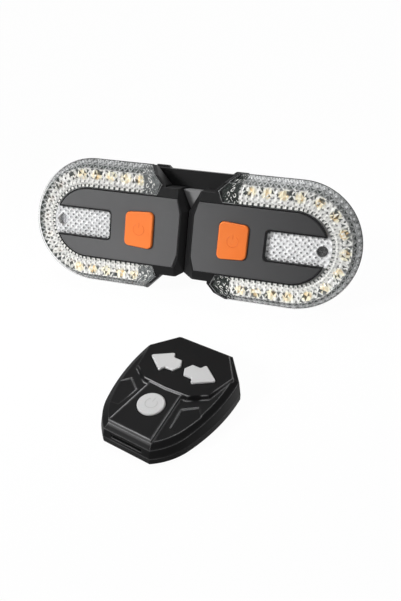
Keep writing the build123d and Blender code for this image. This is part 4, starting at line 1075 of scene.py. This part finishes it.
@dataclass
class LensPrisms:
    """Prisms inside one lamp's lens: rows round the ring, and a field between the fork's tines."""

    pitch: float = 2.67
    heel: Place = (16.0, 17.1)
    nose: Place = (13.7, 22.3)
    crown: Place = (22.0, 31.0)
    end_gap: float = 0.9
    straight_cells: int = 14
    arc_cells: int = 28
    squeezed_cells: int = 5
    apex_depth: float = 0.75
    rows: Sequence[Place] = ((17.35, -2.2), (19.7, -2.2), (22.7, -2.25), (26.1, -2.5), (28.2, -6.3),
                             (30.5, -11.3), (30.7, -11.8))
    window_x: Place = (38.2, 68.9)
    window_half: float = 7.35
    window_rows: int = 10
    window_z: float = -2.1
    screw_x: float = 64.5
    # Brightness of the painted reflector seen through the ring and the window; the left lamp sets darker ones
    # as painted shade.
    white: Colour = (0.94, 0.935, 0.905)
    window_white: Colour = (0.93, 0.93, 0.935)
    looks: dict[str, float | Colour] = field(default_factory=dict)

    @property
    def ring_cells(self) -> int:
        """Cells round the whole ring."""
        return 2 * self.straight_cells + self.arc_cells

    def start_x(self, radius: float) -> float:
        """Where the lens starts at a distance from the lamp's middle line.

        Args:
            radius: That distance.

        Returns:
            x of the lens's end.
        """
        below = radius < self.nose[1]
        (low_x, low_y), (high_x, high_y) = (self.heel, self.nose) if below else (self.nose, self.crown)
        return low_x + (high_x - low_x) * (radius - low_y) / (high_y - low_y) + self.end_gap

    def ring_point(self, cell: float, radius: float) -> Place:
        """Point on a row, counted in cells along the ring from its upper inner end.

        Args:
            cell: Cells from the upper inner end.
            radius: The row's distance from the middle line.

        Returns:
            x and y of the point.
        """
        upper = cell <= self.ring_cells / 2
        count = cell if upper else self.ring_cells - cell
        if count >= self.straight_cells:
            turn = math.pi / 2 * (1 - (count - self.straight_cells) / (self.arc_cells / 2))
            x, y = ARC_X + radius * math.cos(turn), radius * math.sin(turn)
        else:
            kept = self.straight_cells - self.squeezed_cells
            back = self.straight_cells - count
            share = max(back - kept, 0) / self.squeezed_cells
            knee = ARC_X - self.pitch * min(back, kept)
            x, y = knee + (self.start_x(radius) - knee) * share, radius
        return (x, y if upper else -y)

    def row_point(self, row: float, is_tip: bool) -> Place:
        """Radius and height at a place among the rows.

        Args:
            row: The place, counted in rows from the fork.
            is_tip: Whether it is a prism's tip, inside the row.

        Returns:
            Radius and height.
        """
        low = min(int(row), len(self.rows) - 2)
        first, second = Vector(self.rows[low]), Vector(self.rows[low + 1])
        found = first.lerp(second, row - low)
        if is_tip:
            along = (second - first).normalized()
            found += Vector((along.y, -along.x)) * self.apex_depth
        return tuple(found)

    def ring(self) -> bpy.types.Object:
        """Band of prisms round the lamp.

        Returns:
            The band, dressed but not yet in place.
        """
        rows = len(self.rows) - 1

        def place(cell: float, row: float, is_tip: bool) -> Point:
            """Puts a corner or tip at its cell and row of the band."""
            radius, height = self.row_point(row, is_tip)
            return (*self.ring_point(cell, radius), height)

        piece = pyramids(self.ring_cells, rows, place)
        led_cells = (LED_PITCH / self.pitch, self.arc_cells * LED_STEP / math.pi)
        dress(piece, RingPrismPlastic("ring_prisms", (self.ring_cells, rows), self.arc_cells, led_cells,
                                      LED_ROWS, white=self.white, **self.looks).build())
        return piece

    def window(self) -> bpy.types.Object:
        """Field of staggered prisms between the tines.

        Returns:
            The field, dressed but not yet in place.
        """
        low, high = self.window_x
        width = high - low
        columns, rows = 2 * round(width / self.pitch), self.window_rows

        def place(column: float, row: float, is_tip: bool) -> Point:
            """Puts a corner or tip on the field, or on the lens's bend where that comes first.

            Args:
                column: The place, counted in columns from the fork.
                row: The place, counted in rows from the lower edge.
                is_tip: Whether it is a prism's tip.

            Returns:
                x, y and z of the point.
            """
            y = (row / rows * 2 - 1) * self.window_half
            x = min(low + width * column / columns, ARC_X + math.sqrt(self.rows[0][0] ** 2 - y ** 2))
            sunk = 0.5 if is_tip else (round(column) + round(row)) % 2
            return (x, y, self.window_z - self.apex_depth * sunk)

        piece = pyramids(columns, rows, place)
        for loop, spot in zip(piece.data.loops, piece.data.uv_layers.active.data):
            at = piece.data.vertices[loop.vertex_index].co
            spot.uv = ((at.x - low) / width, (at.y / self.window_half + 1) / 2)
        dress(piece, WindowPrismPlastic("window_prisms", (columns, rows), (width, 2 * self.window_half),
                                        self.screw_x - low, white=self.window_white).build())
        return piece

    def build(self, side: Side) -> None:
        """Makes both fields for one lamp.

        Args:
            side: The lamp.
        """
        for make, word in ((self.ring, "ring_prisms"), (self.window, "window_prisms")):
            piece = make()
            piece.name = f"{side.value}_{word}"
            LAMP.settle(piece, side is Side.LEFT)
            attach(piece, f"{side.value}_lamp")
            LOG.info("%s: %d faces", piece.name, len(piece.data.polygons))


@dataclass
class ChipLights:
    """Amber phosphor on each light chip of a lamp."""

    phosphor: bpy.types.Material
    path_radius: float = 23.2
    arc_steps: int = 3
    chip_top: float = -6.1
    width: float = 1.9
    length: float = 2.5
    height: float = 0.35

    def places(self) -> list[Point]:
        """x, y and turn of every chip.

        Returns:
            The places, first along the two straights and then round the arc.
        """
        reach = self.path_radius
        found = [(ARC_X - LED_PITCH * row, sign * reach, math.pi / 2)
                 for sign in (1, -1) for row in range(LED_ROWS)]
        for step in range(-self.arc_steps, self.arc_steps + 1):
            turn = LED_STEP * step
            found.append((ARC_X + reach * math.cos(turn), reach * math.sin(turn), turn))
        return found

    def chip(self) -> bpy.types.Object:
        """One phosphor pad with a domed top.

        Returns:
            The pad, at the middle of the lamp's directions.
        """
        bpy.ops.mesh.primitive_cube_add(size=1.0)
        pad = bpy.context.object
        edit(pad, partial(bpy.ops.transform.resize, value=(self.width, self.length, self.height)))
        edit(pad, *(partial(bpy.ops.mesh.inset, thickness=0.3, depth=depth) for depth in (0.14, 0.07)),
             wanted=lambda face: face.normal.z > 0.5)
        bevel(pad, 0.12)
        return pad

    def build(self, side: Side) -> None:
        """Makes the pads of one lamp.

        Args:
            side: The lamp.
        """
        places = self.places()
        pads = [self.chip()]
        for _ in places[1:]:
            choose(pads[0])
            bpy.ops.object.duplicate()
            pads.append(bpy.context.object)
        for pad, (x, y, turn) in zip(pads, places):
            pad.data.transform(Matrix.Translation((x, y, self.chip_top)) @ Matrix.Rotation(turn, 4, "Z"))
        piece = joined(pads, f"{side.value}_chip_lights")
        dress(piece, self.phosphor)
        LAMP.settle(piece, side is Side.LEFT)
        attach(piece, f"{side.value}_lamp")
        LOG.info("%s: %d pads", piece.name, len(pads))


@dataclass(frozen=True)
class PowerMark:
    """Shallow ring and bar raised on a button."""

    radius: float
    thickness: float
    sunk: float = 0.04
    gap_deg: float = 70.0
    bar: float = 0.9

    def build(self, name: str) -> bpy.types.Object:
        """Makes the mark flat about its own origin.

        Args:
            name: The piece's name.

        Returns:
            The mark.
        """
        bpy.ops.mesh.primitive_torus_add(major_radius=self.radius, minor_radius=self.thickness,
                                         major_segments=48, minor_segments=8)
        ring = bpy.context.object
        half_gap = math.radians(self.gap_deg) / 2
        edit(ring, partial(bpy.ops.mesh.delete, type="FACE"),
             wanted=lambda face: abs(math.atan2(face.center.x, face.center.y)) < half_gap)
        edit(ring, bpy.ops.mesh.region_to_loop, bpy.ops.mesh.edge_face_add)
        bpy.ops.mesh.primitive_cylinder_add(vertices=16, radius=self.thickness, depth=self.bar * self.radius,
                                            location=(0, self.radius * 0.8, 0), rotation=(math.pi / 2, 0, 0))
        stroke = bpy.context.object
        bevel(stroke, self.thickness * 0.5)
        return joined([ring, stroke], name)


@dataclass
class TailLamp(Assembly):
    """One of the mirrored lamps."""

    side: Side
    button_centre: Place = (23.15, 0.0)
    button_proud: float = 1.3
    power_mark: PowerMark = PowerMark(2.7, 0.16)

    def build(self) -> None:
        """Dresses the lamp's nodes and adds its own pieces."""
        start = f"{self.side.value}_"
        self.dress_nodes({
            "cover": ("front_cover",), "body": ("bezel", "case_back"), "clear": ("lens",),
            "rubber": ("gasket", "port_flap"), "board": ("led_board", "main_board"), "package": ("leds",),
            "white": ("reflector",), "switch": ("button_switch",), "orange": ("power_button",),
            "ribbon": ("ribbon",), "foil": ("battery",), "steel": ("charging_port", "case_screws"),
        }, start)
        # The right lamp's screw takes the painted-shade copy; the left one is steel.
        screw_finish = "shaded_screw" if self.side is Side.RIGHT else "steel"
        self.dress_nodes({screw_finish: ("lens_screw",)}, start)
        self.prisms().build(self.side)
        ChipLights(self.finishes["phosphor"]).build(self.side)
        self.button_mark()

    def prisms(self) -> LensPrisms:
        """The lens's prisms; the left lamp's, seen at a slant, are a copy with painted shade on the white,
        the wall and the lines, grey ends, and their painted chip light shifted and dimmed round the arc.

        Returns:
            The prisms with this lamp's looks.
        """
        if self.side is Side.RIGHT:
            return LensPrisms()
        # The left lamp's painted light and shade: chip light dimmed round the arc and shifted, darker wall
        # and lines, grey ends.
        looks = {"arc_glow": 0.05, "led_shift": 1.5, "net_shift": 0.9, "end": (0.16, 0.17, 0.17),
                 "wall": (0.06, 0.063, 0.063), "line": (0.66, 0.67, 0.675)}
        return LensPrisms(white=(0.81, 0.802, 0.775), window_white=(0.76, 0.76, 0.765), looks=looks)

    def button_mark(self) -> None:
        """Raised ring on the orange button."""
        mark = self.power_mark.build(f"{self.side.value}_button_mark")
        top = (*self.button_centre, self.button_proud - self.power_mark.sunk)
        mark.data.transform(Matrix.Translation(top))
        dress(mark, self.finishes["orange_mark"])
        LAMP.settle(mark, self.side is Side.LEFT)
        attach(mark, f"{self.side.value}_power_button")
        LOG.info("%s done", mark.name)


@dataclass
class SeatPostBracket(Assembly):
    """Bracket, clamp and their fasteners."""

    def build(self) -> None:
        """Dresses the bracket's nodes."""
        self.dress_nodes({
            "body": ("bracket", "clamp_jaw"), "rubber": ("front_liner", "rear_liner"),
            "wedge": ("seam_wedge",), "steel": ("clamp_nuts", "right_clamp_screw", "left_clamp_screw"),
        })


@dataclass
class Remote(Assembly):
    """Wireless remote with two arrows and a round button."""

    spine_height: float = 11.0
    spine_slope: float = 0.075
    key_proud: float = 0.7
    power_mark: PowerMark = PowerMark(2.3, 0.15)

    def key_mark(self) -> None:
        """Ring and bar on the round key."""
        mark = self.power_mark.build("remote_key_mark")
        tilt = Matrix.Rotation(math.atan(self.spine_slope), 4, "X")
        top = (0.0, 0.0, self.spine_height + self.key_proud - self.power_mark.sunk)
        mark.data.transform(Matrix.Translation(top) @ tilt)
        dress(mark, self.finishes["key_mark"])
        REMOTE.settle(mark)
        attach(mark, "remote_power_button")
        LOG.info("%s done", mark.name)

    def build(self) -> None:
        """Dresses the remote's nodes and adds the mark."""
        self.dress_nodes({
            "remote": ("remote_top", "remote_base", "battery_door"), "steel": ("coin_cell", "remote_screws"),
            "brass": ("cell_contact",), "board": ("remote_board",), "switch": ("remote_switches",),
            "key": ("right_arrow_button", "left_arrow_button", "remote_power_button"),
        })
        self.key_mark()


# Studio


@dataclass
class Studio:
    """Floor, lamps, world and camera."""

    camera_mm: Point = (69.823, -211.53, 166.06)
    away: Point = (0.2109, -0.7926, 0.5721)
    right: Point = (0.9664, 0.2571, 0.0)
    focal_px: float = 580.0
    frame_px: float = 601.0
    sensor_mm: float = 36.0
    floor_m: float = 12.0
    floor_drop_m: float = 0.0002
    floor_white: float = 0.97
    world_level: float = 0.26

    def floor(self) -> None:
        """Pale floor that keeps a soft shadow."""
        bpy.ops.mesh.primitive_plane_add(size=self.floor_m, location=(0.0, 0.0, -self.floor_drop_m))
        floor = bpy.context.object
        floor.name = "studio_floor"
        recipe = Recipe("studio_floor")
        matt = recipe.principled(base_color=(0.88, 0.88, 0.88), roughness=0.9, specular_ior_level=0.1)
        white = recipe.node("Emission", None, {"Color": (1.0, 1.0, 1.0), "Strength": 1.0})
        share = recipe.seen() * self.floor_white
        dress(floor, recipe.surface(recipe.node("MixShader", None, {0: share, 1: matt, 2: white})))

    def world(self) -> None:
        """White surround, dimmer for the light it gives."""
        recipe = Recipe("studio_world", world=True)
        strength = recipe.seen().ramp(0.0, 1.0, self.world_level, 1.0)
        sockets = {"Color": (1.0, 1.0, 1.0), "Strength": strength}
        bpy.context.scene.world = recipe.surface(recipe.node("Background", None, sockets))

    def light(self, kind: str, name: str, place: Point, aim: Point, **settings: float) -> None:
        """Adds a studio lamp.

        Args:
            kind: The lamp's type.
            name: Its name.
            place: Its place in metres.
            aim: The point that it faces, in metres.
            settings: Its other properties, such as energy in watts.
        """
        bpy.ops.object.light_add(type=kind, location=place)
        lamp = bpy.context.object
        lamp.name = name
        for key, value in settings.items():
            setattr(lamp.data, key, value)
        lamp.rotation_euler = (Vector(aim) - Vector(place)).to_track_quat("-Z", "Y").to_euler()

    def camera(self) -> None:
        """Camera where the photograph was taken from."""
        away = Vector(self.away).normalized()
        right = Vector(self.right).normalized()
        up = away.cross(right)
        turn = Matrix((right, up, away)).transposed().to_4x4()
        bpy.ops.object.camera_add()
        camera = bpy.context.object
        camera.name = "studio_camera"
        camera.matrix_world = Matrix.Translation(Vector(self.camera_mm) * MM) @ turn
        camera.data.lens = self.focal_px / self.frame_px * self.sensor_mm
        camera.data.sensor_width = self.sensor_mm
        camera.data.clip_start = 0.01
        bpy.context.scene.camera = camera

    def build(self) -> None:
        """Sets up the whole studio."""
        self.floor()
        self.world()
        middle = (0.0, 0.0, 0.02)
        self.light("SPOT", "key_lamp", (-0.5, -0.45, 0.42), (-0.05, -0.02, 0.03), energy=42.0,
                   shadow_soft_size=0.12, spot_size=math.radians(22.0), spot_blend=1.0)
        self.light("AREA", "fill_lamp", (1.4, -1.1, 1.0), middle, energy=0.5, size=1.0)
        self.light("AREA", "top_lamp", (-0.3, 0.7, 1.8), middle, energy=15.0, size=1.0)
        self.camera()
        bpy.context.scene.view_settings.view_transform = "Standard"
        LOG.info("studio set up")


def main() -> None:
    """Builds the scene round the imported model."""
    logging.basicConfig(level=logging.INFO, format="%(name)s: %(message)s")
    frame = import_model()
    finishes = {name: look.build() for name, look in LOOKS.items()}
    nodes = frame["nodes"]
    Studio().build()
    for side in Side:
        TailLamp(finishes, nodes, side).build()
    SeatPostBracket(finishes, nodes).build()
    Remote(finishes, nodes).build()
    choose()


if __name__ == "__main__":
    main()
